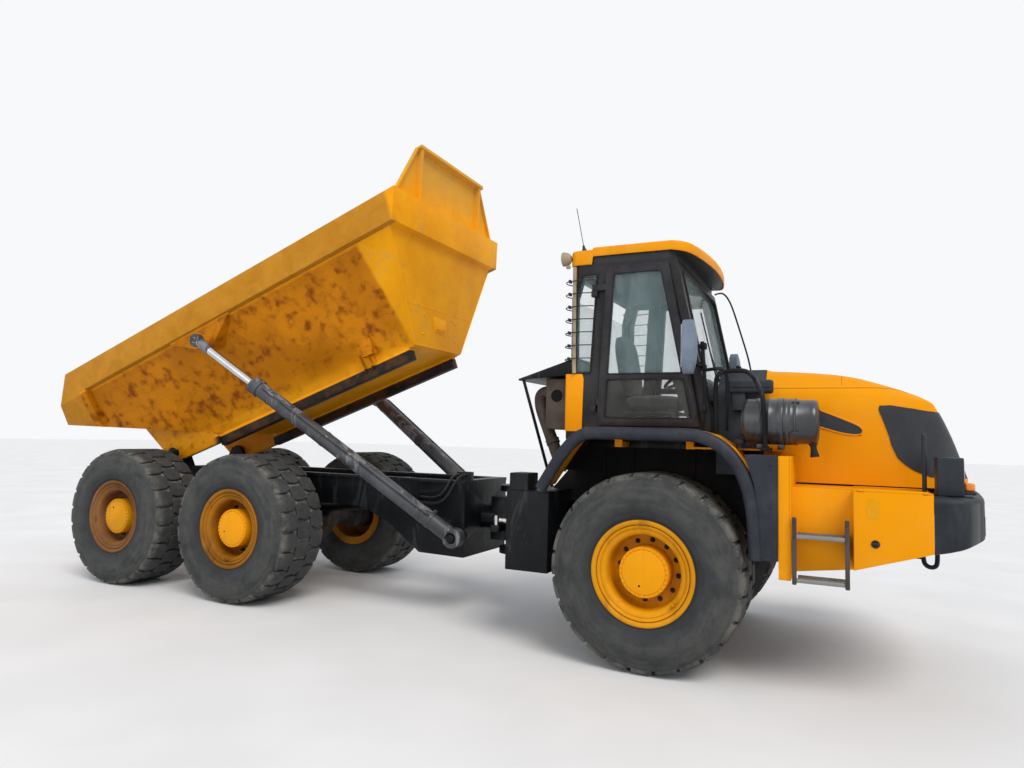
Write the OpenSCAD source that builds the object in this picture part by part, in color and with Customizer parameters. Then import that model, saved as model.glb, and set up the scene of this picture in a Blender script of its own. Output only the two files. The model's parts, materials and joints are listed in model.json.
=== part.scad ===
// Articulated six-wheel dump truck, real size, parked with its bed part tipped.
// X runs forward, Y to the left, Z up. Stations along X are given from the front
// axle and are shifted so that the whole truck is centred on the origin.

/* [Wheels] */
// Outer radius of a tyre, tread included
tyre_r = 732; // [700:1:760]
// Half the width of the tread
tread_half_w = 279; // [250:1:290]
// How far the sidewall bulges past the tread
sidewall_bulge = 42; // [20:1:50]
// Depth of the tread's grooves
lug_depth = 26; // [12:1:34]
// Number of lugs in each row round a tyre
lug_count = 24; // [18:1:30]
// Radius of the rim's flange
rim_r = 391; // [380:1:400]
// Half the width of the rim over its flanges
rim_half_w = 286; // [270:1:295]
// Radius of the hub's cover
hub_r = 186; // [150:1:200]
// How far the hub's cover stands out from the middle of the wheel
hub_out = 236; // [200:1:260]
// Half the distance between the wheels of one axle
half_track = 975; // [950:1:990]
// From the front axle back to the middle axle
front_to_mid = 4152; // [4100:1:4250]
// From the middle axle back to the rear axle
mid_to_rear = 1725; // [1690:1:1760]

/* [Axles] */
// Radius of an axle's tube
axle_tube_r = 115; // [90:1:130]
// Radius of the differential's housing
diff_r = 215; // [180:1:225]
// Radius of the brake housing at each end of an axle
brake_r = 185; // [150:1:200]
// Radius of the spindle that a wheel turns on
spindle_r = 90; // [70:1:100]

/* [Front chassis] */
// Half the distance between the outer faces of the two rails
rail_half_w = 390; // [360:1:420]
// Thickness of a rail
rail_t = 60; // [40:1:80]
// Height of the rails' lower edge
rail_bottom_z = 880; // [860:1:900]
// Height of the rails' upper edge
rail_top_z = 1140; // [1110:1:1180]
// From the front axle forward to the rails' front end
rail_front = 1880; // [1840:1:1900]
// From the front axle back to the chassis's rear bulkhead
bulkhead_back = 1100; // [1080:1:1120]
// Radius of the bore in each tow plate
tow_bore_r = 32; // [25:1:38]
// Thickness of each tow plate
tow_plate_t = 50; // [40:1:58]
// From the front axle forward to the tow plates' bores
tow_x = 2150; // [2120:1:2165]
// Height of the tow plates' bores
tow_z = 930; // [910:1:935]

/* [Articulation] */
// From the front axle back to the steering pivot
pivot_back = 1600; // [1570:1:1630]
// Radius of the steering pivot's pin
pivot_pin_r = 50; // [40:1:60]
// Thickness of each fork plate
fork_t = 60; // [40:1:70]
// Height of the roll axis between the two halves
roll_z = 900; // [890:1:910]
// Radius of the roll journal
journal_r = 110; // [100:1:115]
// Radial clearance of every shaft in its bore
bore_gap = 0.05; // [0.02:0.01:0.1]

/* [Rear frame] */
// From the front axle back to the rear frame's front face
frame_front = 1950; // [1930:1:1980]
// From the front axle back to the rear frame's rear end
frame_rear = 6330; // [6290:1:6380]
// Half the distance between the outer faces of the side plates
frame_half_w = 445; // [430:1:455]
// Thickness of a side plate
frame_plate_t = 50; // [30:1:60]
// Height of the rear frame's top
frame_top_z = 1270; // [1250:1:1275]
// Height of the rear frame's lower edge at the front
frame_low_z = 545; // [520:1:580]
// Height of the rear frame's lower edge over the axles
frame_arch_z = 960; // [930:1:980]

/* [Bed] */
// Angle at which the bed is parked, in degrees
bed_angle = 20; // [20:1:20]
// From the front axle back to the bed's tipping pin
bed_pin_back = 5850; // [5840:1:5870]
// Height of the tipping pin
bed_pin_z = 1410; // [1400:1:1420]
// Radius of the tipping pin
bed_pin_r = 45; // [35:1:55]
// Length of the level floor from the tipping pin forward
floor_front = 3497; // [3450:1:3520]
// Length of the level floor behind its front edge
floor_len = 2760; // [2700:1:2800]
// Angle of the rising tail floor to the level floor
tail_rise = 21.35; // [20:0.05:23]
// Length of the rising tail floor
tail_len = 2072; // [2040:1:2090]
// Half the width of the floor
floor_half_w = 450; // [430:1:470]
// Half the width of the walls where they reach the rail
wall_half_w = 1010; // [980:1:1020]
// Height of the rail's lower edge above the floor
rail_low = 1000; // [960:1:1020]
// Height of the rail's upper edge above the floor
rail_high = 1300; // [1270:1:1330]
// Half the width over the rails
rail_out_w = 1075; // [1060:1:1080]
// Height of the headboard above the floor
head_high = 1823; // [1700:1:1840]
// Half the width of the headboard's top
head_half_w = 645; // [600:1:700]
// Angle at which the front wall leans forward
head_lean = 21.6; // [18:0.1:24]
// Thickness of the bed's plates
bed_t = 14; // [8:1:20]

/* [Hoist cylinders] */
// From the front axle back to the lower pin
hoist_low_back = 1970; // [1970:1:1975]
// Height of the lower pin
hoist_low_z = 750; // [730:1:760]
// Half the distance between the lower eyes
hoist_low_y = 600; // [595:1:610]
// Half the distance between the upper eyes
hoist_high_y = 1160; // [1158:1:1165]
// Upper eye behind the floor's front edge, along the floor
hoist_eye_u = 2137; // [2120:1:2150]
// Upper eye above the floor
hoist_eye_v = 810; // [800:1:820]
// Radius of the barrel
hoist_barrel_r = 78; // [70:1:85]
// Length of the barrel from the lower pin
hoist_barrel_len = 2640; // [2550:1:2680]
// Radius of the rod
hoist_rod_r = 43; // [35:1:50]
// Thickness of the upper eye
hoist_eye_t = 70; // [60:1:70]

/* [Cab] */
// Half the width of the cab over its frame
cab_half_w = 855; // [830:1:860]
// From the front axle back to the cab's rear face
cab_back = 770; // [760:1:790]
// From the front axle forward to the foot of the windscreen
cab_front = 420; // [410:1:430]
// Height of the cab's floor
cab_floor_z = 1700; // [1690:1:1710]
// Height of the door's sill
sill_z = 1835; // [1820:1:1850]
// Height of the ring under the roof
cab_ring_z = 3160; // [3140:1:3180]
// Height of the roof's top
roof_z = 3330; // [3300:1:3350]
// From the front axle forward to the ring's front end
ring_front = 150; // [140:1:170]
// Thickness of the cab's posts
post_t = 60; // [50:1:70]
// Thickness of a door
door_t = 40; // [34:1:44]
// Thickness of the glass
glass_t = 6; // [4:1:8]

/* [Bonnet and bodywork] */
// Half the width of the bonnet
bonnet_half_w = 700; // [680:1:720]
// Height of the bonnet's lower edge
bonnet_low_z = 1450; // [1445:1:1455]
// From the front axle forward to the bonnet's rear edge
bonnet_rear = 790; // [780:1:800]
// From the front axle forward to the bonnet's nose
bonnet_nose = 2200; // [2180:1:2210]
// Height of the bonnet's top at its rear edge
bonnet_top_z = 2290; // [2260:1:2310]
// Thickness of the bonnet's skin
skin_t = 12; // [8:1:16]
// Half the width over the fenders and side boxes
body_half_w = 1250; // [1235:1:1260]
// Height of the fender's top
fender_z = 1800; // [1790:1:1805]
// Height of the side boxes' top
box_top_z = 1410; // [1400:1:1420]
// From the front axle forward to the bumper's front
bumper_front = 2250; // [2240:1:2260]
// Height of the bumper's lower edge
bumper_low_z = 1020; // [1000:1:1040]
// Height of the bumper's upper edge
bumper_top_z = 1395; // [1385:1:1400]
// Thickness of the bumper's wall
bumper_t = 60; // [40:1:80]

/* [Hidden] */
$fn = 64;
// Bevel on the cab's rear corner posts
corner_cut = 95;

paint = "orange";
steel_black = [0.12, 0.12, 0.13];
rubber = [0.2, 0.2, 0.2];

// Gap between pieces that rest against each other
seat_gap = 0.3;

// Bed outline in its own plane: u runs forward along the floor, v up from it
tail_u = -floor_len - tail_len * cos(tail_rise);
tail_v = tail_len * sin(tail_rise);
rail_tail_u = tail_u + 270;
floor_edge_back = bed_pin_back - floor_front * cos(bed_angle);
floor_edge_z = bed_pin_z + floor_front * sin(bed_angle);

// The tail's lowest corner reaches furthest back, the bumper furthest forward
rear_reach = floor_edge_back - tail_u * cos(bed_angle) + tail_v * sin(bed_angle);
front_axle_x = (rear_reach - bumper_front) / 2;

axle_x = [0, -front_to_mid, -front_to_mid - mid_to_rear];
wheel_z = tyre_r;

// Rod eye at rest, and the line of the hoist cylinder of the right side
eye_x = -floor_edge_back - hoist_eye_u * cos(bed_angle) - hoist_eye_v * sin(bed_angle);
eye_z = floor_edge_z - hoist_eye_u * sin(bed_angle) + hoist_eye_v * cos(bed_angle);
hoist_run = eye_x + hoist_low_back;
hoist_rise = eye_z - hoist_low_z;
hoist_splay = hoist_high_y - hoist_low_y;
hoist_flat = norm([hoist_run, hoist_splay]);
hoist_len = norm([hoist_run, hoist_splay, hoist_rise]);
hoist_lift = atan2(hoist_rise, hoist_flat);
hoist_turn = atan2(-hoist_splay, hoist_run);
hoist_rod_len = 2260;
hoist_pin_r = 38;
hoist_ball_r = 62;

// Steering cylinders
steer_low = [-940, 250];
steer_high = [-1710, 225];
steer_z = roll_z;
steer_barrel_r = 45;
steer_rod_r = 24;
steer_run = steer_high - steer_low;
steer_barrel_len = 480;
steer_rod_foot = 260;
hinge_pin_r = 12;

// Door opening, and the pins that the door swings on
door_foot_rear = -470;
door_foot_front = 330;
door_top_z = 3110;
door_lean_run = 70;
door_pin_x = -520;
door_pin_y = cab_half_w + 40;
door_hinge_z = [1930, 2880];

// Bonnet hinge at the foot of the nose
hinge_x = bonnet_nose - 30;
hinge_z = bonnet_low_z - 3;

// Inner faces of the side tanks and of the front flank
tank_in_y = 470;
flank_in_y = 760;

// Hinge pin of a side box's lid
lid_pin_y = body_half_w - 7;
lid_pin_z = box_top_z + 6;
steer_len = norm(steer_run);
steer_turn = atan2(steer_run[1], steer_run[0]);

module from_axle() {
    translate([front_axle_x, 0, 0])
        children();
}

module both_sides() {
    children();
    mirror([0, 1, 0])
        children();
}

// Extrudes an outline drawn in X and Z between two stations along Y
module side_plate(y_from, y_to) {
    translate([0, y_to, 0])
        rotate([90, 0, 0])
            linear_extrude(y_to - y_from)
                children();
}

// Extrudes an outline drawn in Y and Z between two stations along X
module cross_plate(x_from, x_to) {
    translate([x_from, 0, 0])
        rotate([90, 0, 90])
            linear_extrude(x_to - x_from)
                children();
}

module box_between(a, b) {
    translate(a)
        cube(b - a);
}

module rod_between(a, b, r) {
    run = b - a;
    flat = norm([run[0], run[1]]);
    translate(a)
        rotate([0, atan2(flat, run[2]), flat == 0 ? 0 : atan2(run[1], run[0])])
            cylinder(r = r, h = norm(run));
}

// A bent tube through its points, with a ball at each bend
module tube_run(points, r) {
    for (i = [0 : len(points) - 2])
        rod_between(points[i], points[i + 1], r);
    for (i = [1 : 1 : len(points) - 2])
        translate(points[i])
            sphere(r = r * 1.06);
}

module pin_y(x, z, y_from, y_to, r) {
    translate([x, y_to, z])
        rotate([90, 0, 0])
            cylinder(r = r, h = y_to - y_from);
}

// Puts a wheel part, drawn about Z with its outside up, on axle i and side s
module on_wheel(i, s) {
    from_axle()
        translate([axle_x[i], s * half_track, wheel_z])
            rotate([-90 * s, 0, 0])
                children();
}

module tyre(i, s) {
    w = tread_half_w;
    bulge = w + sidewall_bulge;
    bead_r = rim_r - 60;
    outer = [[bead_r, w - 30], [rim_r + 6, w - 4], [tyre_r - 300, bulge - 12],
        [tyre_r - 200, bulge], [tyre_r - 120, bulge - 14], [tyre_r - lug_depth - 22, w],
        [tyre_r - lug_depth - 10, w * 0.93], [tyre_r - lug_depth, w * 0.6]];
    inner = [[tyre_r - 75, w * 0.6], [tyre_r - 110, w * 0.86], [tyre_r - 200, bulge - 34],
        [tyre_r - 300, bulge - 46], [bead_r + 30, w - 62], [bead_r, w - 62]];
    color(rubber)
        on_wheel(i, s) {
            rotate_extrude($fn = 96)
                polygon(concat(
                    outer,
                    [for (k = [len(outer) - 1 : -1 : 0]) [outer[k][0], -outer[k][1]]],
                    [for (k = [len(inner) - 1 : -1 : 0]) [inner[k][0], -inner[k][1]]],
                    inner));
            // Rows of lugs: low side, high side, top radius and turn, in pitches
            for (row = [[-w, -w * 0.88, tyre_r - 18, 0], [-w * 0.88, -w * 0.37, tyre_r, 0],
                [-w * 0.28, w * 0.28, tyre_r, 0.5], [w * 0.37, w * 0.88, tyre_r, 0],
                [w * 0.88, w, tyre_r - 18, 0]])
                translate([0, 0, row[0]])
                    linear_extrude(row[1] - row[0])
                        lug_ring(row[2], row[3] * 360 / lug_count);
        }
}

// Toothed ring of one row of lugs, rooted inside the tyre's carcass
module lug_ring(top_r, turn) {
    root_r = tyre_r - lug_depth - 28;
    pitch = 360 / lug_count;
    difference() {
        polygon([for (k = [0 : lug_count - 1], c = [[root_r, -0.5], [root_r, -0.36], [top_r, -0.3],
            [top_r, 0.3], [root_r, 0.36]])
            c[0] * [cos(turn + (k + c[1]) * pitch), sin(turn + (k + c[1]) * pitch)]]);
        circle(r = tyre_r - 62);
    }
}

module rim(i, s) {
    bead_r = rim_r - 60 - seat_gap;
    barrel_r = bead_r - 22;
    disc_low = 45;
    disc_high = 70;
    dish_r = 275;
    flange_low = tread_half_w - 30 + seat_gap;
    flange_high = flange_low + 24;
    color("gold")
        on_wheel(i, s)
            difference() {
                rotate_extrude($fn = 96)
                    polygon([[0, -20], [hub_r - 30, -20], [hub_r - 30, disc_low], [barrel_r, disc_low],
                        [barrel_r, -rim_half_w], [rim_r, -rim_half_w], [rim_r, -flange_high],
                        [bead_r, -flange_low], [bead_r, flange_low], [rim_r, flange_high],
                        [rim_r, rim_half_w],
                        [rim_r - 30, rim_half_w], [rim_r - 52, rim_half_w - 35],
                        [barrel_r - 4, rim_half_w - 90], [dish_r, rim_half_w - 130], [dish_r, disc_high],
                        [hub_r, disc_high], [hub_r, hub_out - 12], [hub_r - 10, hub_out], [0, hub_out]]);
                translate([0, 0, -21])
                    cylinder(r = spindle_r + bore_gap, h = 171);
            }
}

module axle_beam(i) {
    brake_in = half_track - 350;
    brake_out = half_track - 55;
    spindle_out = half_track + 130;
    translate([axle_x[i], 0, wheel_z]) {
        rotate([90, 0, 0])
            cylinder(r = axle_tube_r, h = 2 * brake_in, center = true);
        rotate([0, 90, 0])
            cylinder(r = diff_r, h = 260, center = true);
        rotate([0, 90, 0])
            cylinder(r = 90, h = 520, center = true);
        both_sides()
            rotate([-90, 0, 0])
                translate([0, 0, brake_in]) {
                    cylinder(r = brake_r, h = brake_out - brake_in);
                    cylinder(r = spindle_r, h = spindle_out - brake_in);
                }
    }
}

module front_axle() {
    strut_y = 520;
    color(steel_black)
        from_axle() {
            axle_beam(0);
            both_sides() {
                translate([0, strut_y, wheel_z])
                    cylinder(r = 62, h = 330);
                translate([0, strut_y, wheel_z + 330])
                    cylinder(r = 40, h = 1300 - wheel_z - 330 - seat_gap);
            }
        }
}

module bogie_axle(i) {
    color(steel_black)
        from_axle()
            axle_beam(i);
}

module front_chassis() {
    fork_half_w = 170;
    fork_top = roll_z + 270;
    fork_low = roll_z - 270;
    color(steel_black)
        from_axle() {
            both_sides() {
                box_between([-bulkhead_back, rail_half_w - rail_t, rail_bottom_z],
                    [rail_front, rail_half_w, rail_top_z]);
            }
            // Rear bulkhead with a window for each steering cylinder
            difference() {
                box_between([-bulkhead_back, -rail_half_w, fork_low - fork_t],
                    [-bulkhead_back + 60, rail_half_w, fork_top + fork_t]);
                both_sides()
                    box_between([-bulkhead_back - 1, 150, steer_z - 80],
                        [-bulkhead_back + 61, 340, steer_z + 80]);
            }
            // Tow plates that reach forward under the bumper
            both_sides()
                difference() {
                    side_plate(rail_half_w - tow_plate_t, rail_half_w) {
                        polygon([[rail_front - 200, rail_bottom_z + 1],
                            [rail_front - 200, rail_bottom_z - 40],
                            [tow_x, tow_z - 75], [tow_x, tow_z + 75], [rail_front - 1, bumper_low_z - 12],
                            [rail_front - 1, rail_bottom_z + 1]]);
                        translate([tow_x, tow_z])
                            circle(r = 75);
                    }
                    pin_y(tow_x, tow_z, 0, rail_half_w + 1, tow_bore_r);
                }
            // Front crossmember
            box_between([rail_front - 60, -rail_half_w, rail_bottom_z],
                [rail_front, rail_half_w, rail_top_z]);
            for (z = [fork_low - fork_t, fork_top]) {
                translate([0, 0, z])
                    linear_extrude(fork_t) {
                        translate([-pivot_back, 0])
                            circle(r = fork_half_w);
                        polygon([[-bulkhead_back, -300], [-bulkhead_back, 300],
                            [-pivot_back, fork_half_w], [-pivot_back, -fork_half_w]]);
                    }
            }
            // Steering pivot's upper and lower pins
            translate([-pivot_back, 0, fork_top - 90])
                cylinder(r = pivot_pin_r, h = 90);
            translate([-pivot_back, 0, fork_low])
                cylinder(r = pivot_pin_r, h = 90);
            // Ears of the steering cylinders, each with its pin
            both_sides() {
                box_between([-bulkhead_back + 30, steer_low[1] - 50, steer_z - 110],
                    [steer_low[0] + 50, rail_half_w - rail_t + 1, steer_z - 50]);
                translate([steer_low[0], steer_low[1], steer_z - 50])
                    cylinder(r = 22, h = 100);
            }
        }
}

// Brackets that carry the side boxes and tanks
module outriggers() {
    color(steel_black)
        from_axle()
            both_sides() {
                for (x = [1080, 1800])
                    box_between([x - 30, rail_half_w, rail_bottom_z + 60],
                        [x + 30, flank_in_y, rail_top_z - 60]);
                box_between([-1060, rail_half_w, rail_bottom_z + 60],
                    [-940, tank_in_y - seat_gap, rail_top_z - 60]);
            }
}

// Strut towers over the axle, and the posts that carry the cab and the bonnet
module chassis_posts() {
    color(steel_black)
        from_axle()
            both_sides() {
                box_between([-90, rail_half_w - rail_t, rail_top_z], [90, rail_half_w, 1340]);
                box_between([-90, rail_half_w, 1300], [90, 600, 1340]);
                for (x = [-700, 360])
                    box_between([x - 60, rail_half_w - rail_t, rail_top_z],
                        [x + 60, rail_half_w, cab_floor_z - 60]);
            }
}

module swivel_block() {
    block_h = 540 - 2 * seat_gap;
    journal_len = frame_front - pivot_back + 200;
    color(steel_black)
        from_axle()
            translate([-pivot_back, 0, roll_z]) {
                difference() {
                    union() {
                        cylinder(r = pivot_pin_r + 50, h = block_h, center = true);
                        translate([-150, 0, 0])
                            cube([180, 200, 420], center = true);
                        rotate([0, -90, 0])
                            cylinder(r = journal_r, h = journal_len);
                        // Keeper ring behind the frame's bulkhead
                        rotate([0, -90, 0])
                            translate([0, 0, frame_front - pivot_back + 120 + 1])
                                cylinder(r = journal_r + 40, h = 40);
                    }
                    cylinder(r = pivot_pin_r + bore_gap, h = block_h + 2, center = true);
                }
                // Ears of the steering rods
                both_sides()
                    difference() {
                        translate([steer_high[0] + pivot_back - 45, 60, -110])
                            cube([90, steer_high[1] + 45 - 60, 60]);
                        cylinder(r = pivot_pin_r + 20, h = 400, center = true);
                    }
            }
}

module engine_block() {
    color("dimgray")
        from_axle() {
            box_between([960, -330, rail_top_z + 60], [1740, 330, 1960]);
            box_between([900, -270, rail_bottom_z + 40], [1700, 270, rail_top_z + 60]);
            // Mounting feet on the rails
            both_sides()
                for (x = [1040, 1600])
                    box_between([x, 300, rail_top_z + seat_gap],
                        [x + 100, rail_half_w - 5, rail_top_z + 90]);
            // Cooling pack in front of the engine
            box_between([1740, -420, rail_top_z + 200], [1840, 420, 1980]);
            box_between([1760, -420, rail_top_z + seat_gap], [1820, 420, rail_top_z + 201]);
        }
}

// The bumper's outline seen from above, drawn inside by t
module bumper_outline(t) {
    polygon([[1858, -body_half_w + t], [2030, -body_half_w + t], [2150 - t / 2, -1040],
        [2215 - t, -560], [bumper_front - t, 0], [2215 - t, 560], [2150 - t / 2, 1040],
        [2030, body_half_w - t], [1858, body_half_w - t]]);
}

module bumper() {
    color([0.25, 0.27, 0.29])
        from_axle() {
            difference() {
                translate([0, 0, bumper_low_z])
                    linear_extrude(bumper_top_z - bumper_low_z)
                        bumper_outline(0);
                translate([0, 0, bumper_low_z - 1])
                    linear_extrude(bumper_top_z - bumper_low_z - 39)
                        bumper_outline(bumper_t);
                translate([1700, -rail_half_w - 200, bumper_low_z - 1])
                    cube([150 + 8 + 60, 2 * (rail_half_w + 200), 500]);
                // Slots in the two front corners
                both_sides()
                    translate([2070, 900, 1140])
                        cube([140, 45, 130]);
            }
            // Brackets back to the rails, and lugs that carry the bonnet's hinge pins
            both_sides() {
                box_between([rail_front + seat_gap, rail_half_w - rail_t, bumper_low_z + 20],
                    [2180, rail_half_w, rail_top_z - 10]);
                for (y = [270, 330]) {
                    box_between([hinge_x - 16, y, bumper_top_z - 1], [hinge_x + 16, y + 20, hinge_z]);
                    pin_y(hinge_x, hinge_z, y, y + 20, 20);
                }
                pin_y(hinge_x, hinge_z, 271, 349, hinge_pin_r);
            }
        }
}

module lamps() {
    color([0.3, 0.32, 0.34])
        from_axle()
            both_sides() {
                box_between([1890, 900, bumper_top_z + seat_gap], [2040, 1090, 1643]);
                box_between([2041, 930, bumper_top_z + seat_gap], [2110, 1050, 1470]);
                translate([1825, 1000, box_top_z])
                    cylinder(r = 14, h = 370);
            }
}

// Front flank of the body: a pillar behind the wheel arch, a recess with the
// steps, and an open-sided box that its lid closes
module side_boxes() {
    box_rear = 1400;
    box_front = 1857;
    t = 8;
    color(paint)
        from_axle()
            both_sides() {
                side_plate(flank_in_y, body_half_w - 10)
                    polygon([[940, 860], [1020, 830], [1020, 1620], [940, 1620]]);
                side_plate(flank_in_y, 1100)
                    polygon([[1020, 830], [box_rear, 880], [box_rear, box_top_z], [1020, box_top_z]]);
                difference() {
                    side_plate(flank_in_y, body_half_w - 14)
                        polygon([[box_rear, 895], [box_front, 1040], [box_front, box_top_z],
                            [box_rear, box_top_z]]);
                    side_plate(flank_in_y + t, body_half_w + 10)
                        polygon([[box_rear + t, 895 + 2 * t], [box_front - t, 1040 + t],
                            [box_front - t, box_top_z - t], [box_rear + t, box_top_z - t]]);
                }
                // Walkway between the bonnet and the boxes
                box_between([1021, 705, box_top_z - 12], [box_front, flank_in_y + 1, box_top_z]);
                // Ears of the lid's hinge, each with its pin
                for (x = [box_rear + 30, box_front - 60])
                    box_between([x, body_half_w - 60, box_top_z - 1], [x + 30, body_half_w, lid_pin_z + 7]);
                for (x = [box_rear + 58, box_front - 90])
                    translate([x, lid_pin_y, lid_pin_z])
                        rotate([0, 90, 0])
                            cylinder(r = 5, h = 32);
            }
}

module box_lid(s) {
    color(paint)
        from_axle()
            mirror([0, s < 0 ? 1 : 0, 0])
                difference() {
                    union() {
                        side_plate(body_half_w - 13, body_half_w)
                            polygon([[1402, 897], [1855, 1041], [1855, box_top_z - 6], [1796, box_top_z - 6],
                                [1796, lid_pin_z], [1461, lid_pin_z], [1461, box_top_z - 6],
                                [1402, box_top_z - 6]]);
                        translate([1461, lid_pin_y, lid_pin_z])
                            rotate([0, 90, 0])
                                cylinder(r = 9, h = 335);
                    }
                    translate([1400, lid_pin_y, lid_pin_z])
                        rotate([0, 90, 0])
                            cylinder(r = 5 + bore_gap, h = 500);
                }
}

module steps() {
    color("gray")
        from_axle()
            both_sides() {
                for (x = [1030, 1350])
                    box_between([x, body_half_w - 10, 770], [x + 25, body_half_w + 25, 1215]);
                for (z = [1075, 785])
                    box_between([1054, 1105, z], [1351, body_half_w + 20, z + 28]);
                for (x = [1030, 1350])
                    box_between([x, 1100 + seat_gap, 1070], [x + 25, body_half_w - 9, 1110]);
            }
}

// Line of the wheel arch in X and Z, pushed in by d
function arch_line(d) = [[-870 + d * 0.75, 1330 - d * 0.5], [-700 + d * 0.7, 1590 - d * 0.7],
    [-600 + d * 0.5, 1720 - d * 0.85], [-470 + d * 0.2, fender_z - d], [340, fender_z - d],
    [500 - d * 0.3, fender_z - 40 - d], [640 - d * 0.6, fender_z - 130 - d * 0.7],
    [745 - d * 0.85, fender_z - 290 - d * 0.4], [810 - d, fender_z - 470],
    [840 - d, 904]];

module arch_band(d_from, d_to) {
    inner = arch_line(d_to);
    polygon(concat(arch_line(d_from), [for (i = [len(inner) - 1 : -1 : 0]) inner[i]]));
}

module fenders() {
    color(paint)
        from_axle()
            both_sides() {
                side_plate(cab_half_w + 4, body_half_w - 50)
                    arch_band(4, 22);
                // Arms that hold the fender from the cab's carrier plate
                for (x = [-330, 240]) {
                    box_between([x, 690 + seat_gap, cab_floor_z - 55],
                        [x + 60, cab_half_w + 40, cab_floor_z - 10]);
                    box_between([x, cab_half_w + 5, cab_floor_z - 55],
                        [x + 60, cab_half_w + 40, fender_z - 10]);
                }
                // Deck between the fender and the bonnet on a leg from the rail
                box_between([300, 705, fender_z - 150], [939, 1000, fender_z - 138]);
                box_between([860, 705, rail_top_z - 80], [920, flank_in_y, fender_z - 138]);
                box_between([860, rail_half_w + seat_gap, rail_top_z - 80],
                    [920, flank_in_y, rail_top_z - 20]);
            }
}

module fender_trims() {
    color(rubber)
        from_axle()
            both_sides() {
                side_plate(body_half_w - 50 + seat_gap, body_half_w + 20)
                    arch_band(0, 95);
                side_plate(body_half_w - 30, body_half_w)
                    polygon([[700, 1627], [939, 1627], [939, 904], [820, 904], [780, 1400]]);
            }
}

module side_tanks() {
    color(steel_black)
        from_axle()
            both_sides() {
                box_between([-1190, tank_in_y, 620], [-810, 1100, 1270]);
                box_between([-1170, 880, 1269], [-1000, 1090, 1410]);
            }
}

module rear_deck() {
    color(steel_black)
        from_axle() {
            // Carrier plate under the cab, and the sloped cover behind it
            box_between([-cab_back - 60, -690, cab_floor_z - 60 + seat_gap],
                [cab_front + 4, 690, cab_floor_z - seat_gap]);
            side_plate(-620, 100)
                polygon([[-cab_back - 10, 2260], [-cab_back - 10, 2410], [-1330, 2230], [-1330, 2215],
                    [-1000, 2250]]);
            both_sides()
                box_between([-cab_back - 60, 560, cab_floor_z - 61], [-cab_back - 10, 600, 2270]);
            rod_between([-1290, -598, 2225], [-1070, -380, 1235], 14);
            rod_between([-1150, 60, 2238], [-1070, 60, 1232], 14);
        }
}

module exhaust() {
    color([0.5, 0.4, 0.33])
        from_axle() {
            // Heat shield box with its round mouth
            difference() {
                box_between([-1090, -550, 1780], [-cab_back - 61, -180, 2236]);
                translate([-980, -480, 2080])
                    rotate([90, 0, 0])
                        cylinder(r = 60, h = 100);
            }
            tube_run([[-1095, -380, 2130], [-1215, -380, 2110], [-1180, -420, 1960],
                [-1000, -460, 1560], [-970, -460, 1400]], 55);
            rod_between([-1060, -460 + 13.3, 1693.3], [-1042, -460 + 9.3, 1653.3], 70);
            box_between([-1040, -530, 1360], [-900, -rail_half_w + 30, 1420]);
            box_between([-1000, -rail_half_w, rail_top_z + seat_gap], [-940, -rail_half_w + rail_t, 1361]);
        }
}

module air_cleaner() {
    y = -1000;
    z = 1862;
    color([0.22, 0.22, 0.24])
        from_axle() {
            translate([690, y, z])
                rotate([0, 90, 0])
                    cylinder(r = 165, h = 390);
            translate([1079, y, z])
                rotate([0, 90, 0])
                    cylinder(r = 150, h = 110);
            translate([670, y, z])
                rotate([0, 90, 0])
                    cylinder(r = 120, h = 21);
            // Straps and saddle
            for (x = [780, 960]) {
                translate([x, y, z])
                    rotate([0, 90, 0])
                        cylinder(r = 172, h = 40);
                box_between([x, y - 90, fender_z - 138 + seat_gap], [x + 40, y + 90, z - 120]);
            }
            // Outlet pipe to the engine, and the dust valve
            rod_between([742, y, z], [742, -bonnet_half_w - seat_gap, z], 40);
            rod_between([1150, y, z - 140], [1165, y, z - 250], 32);
        }
}

// Side outline of the cab between its floor and roof ring, drawn inside by t
module cab_outline(t) {
    polygon([[-cab_back + t, cab_floor_z + t], [cab_front - t, cab_floor_z + t],
        [cab_front - t, sill_z + 60], [ring_front - t, cab_ring_z - t], [-cab_back + 60 + t, cab_ring_z - t],
        [-cab_back + t, 2900]]);
}

// Door opening in the side of the cab, drawn inside by t
module door_outline(t) {
    slope = (cab_front - ring_front) / (cab_ring_z - sill_z);
    top_front = door_foot_front - slope * (door_top_z - sill_z);
    polygon([[door_foot_rear + t, sill_z + t], [door_foot_front - t, sill_z + t],
        [top_front - t, door_top_z - t], [door_foot_rear + door_lean_run + t, door_top_z - t]]);
}

// Front face of the windscreen's plane at height z
function screen_x(z) = cab_front - (cab_front - ring_front) / (cab_ring_z - sill_z - 60) * (z - sill_z - 60);

// How far the door's rear edge has leaned forward at height z
function door_lean(z) = door_lean_run * (z - sill_z) / (door_top_z - sill_z);

module rear_quarter_outline(t) {
    polygon([[-cab_back + 78 + t, 2250 + t], [-560 - t, 2250 + t], [-510 - t, 3080 - t],
        [-cab_back + 120 + t, 3080 - t], [-cab_back + 78 + t, 2900]]);
}

module windscreen_outline(t) {
    polygon([[-760 + t, 1990 + t], [760 - t, 1990 + t], [740 - t, 3090 - t], [-740 + t, 3090 - t]]);
}

// Bevel that takes the sharp edge off the cab's rear corner post
module rear_corner_cut() {
    translate([-cab_back, cab_half_w, 2200])
        linear_extrude(cab_ring_z - 2199)
            polygon([[-1, -corner_cut - 1], [corner_cut + 1, 1], [-1, 1]]);
}

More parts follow.
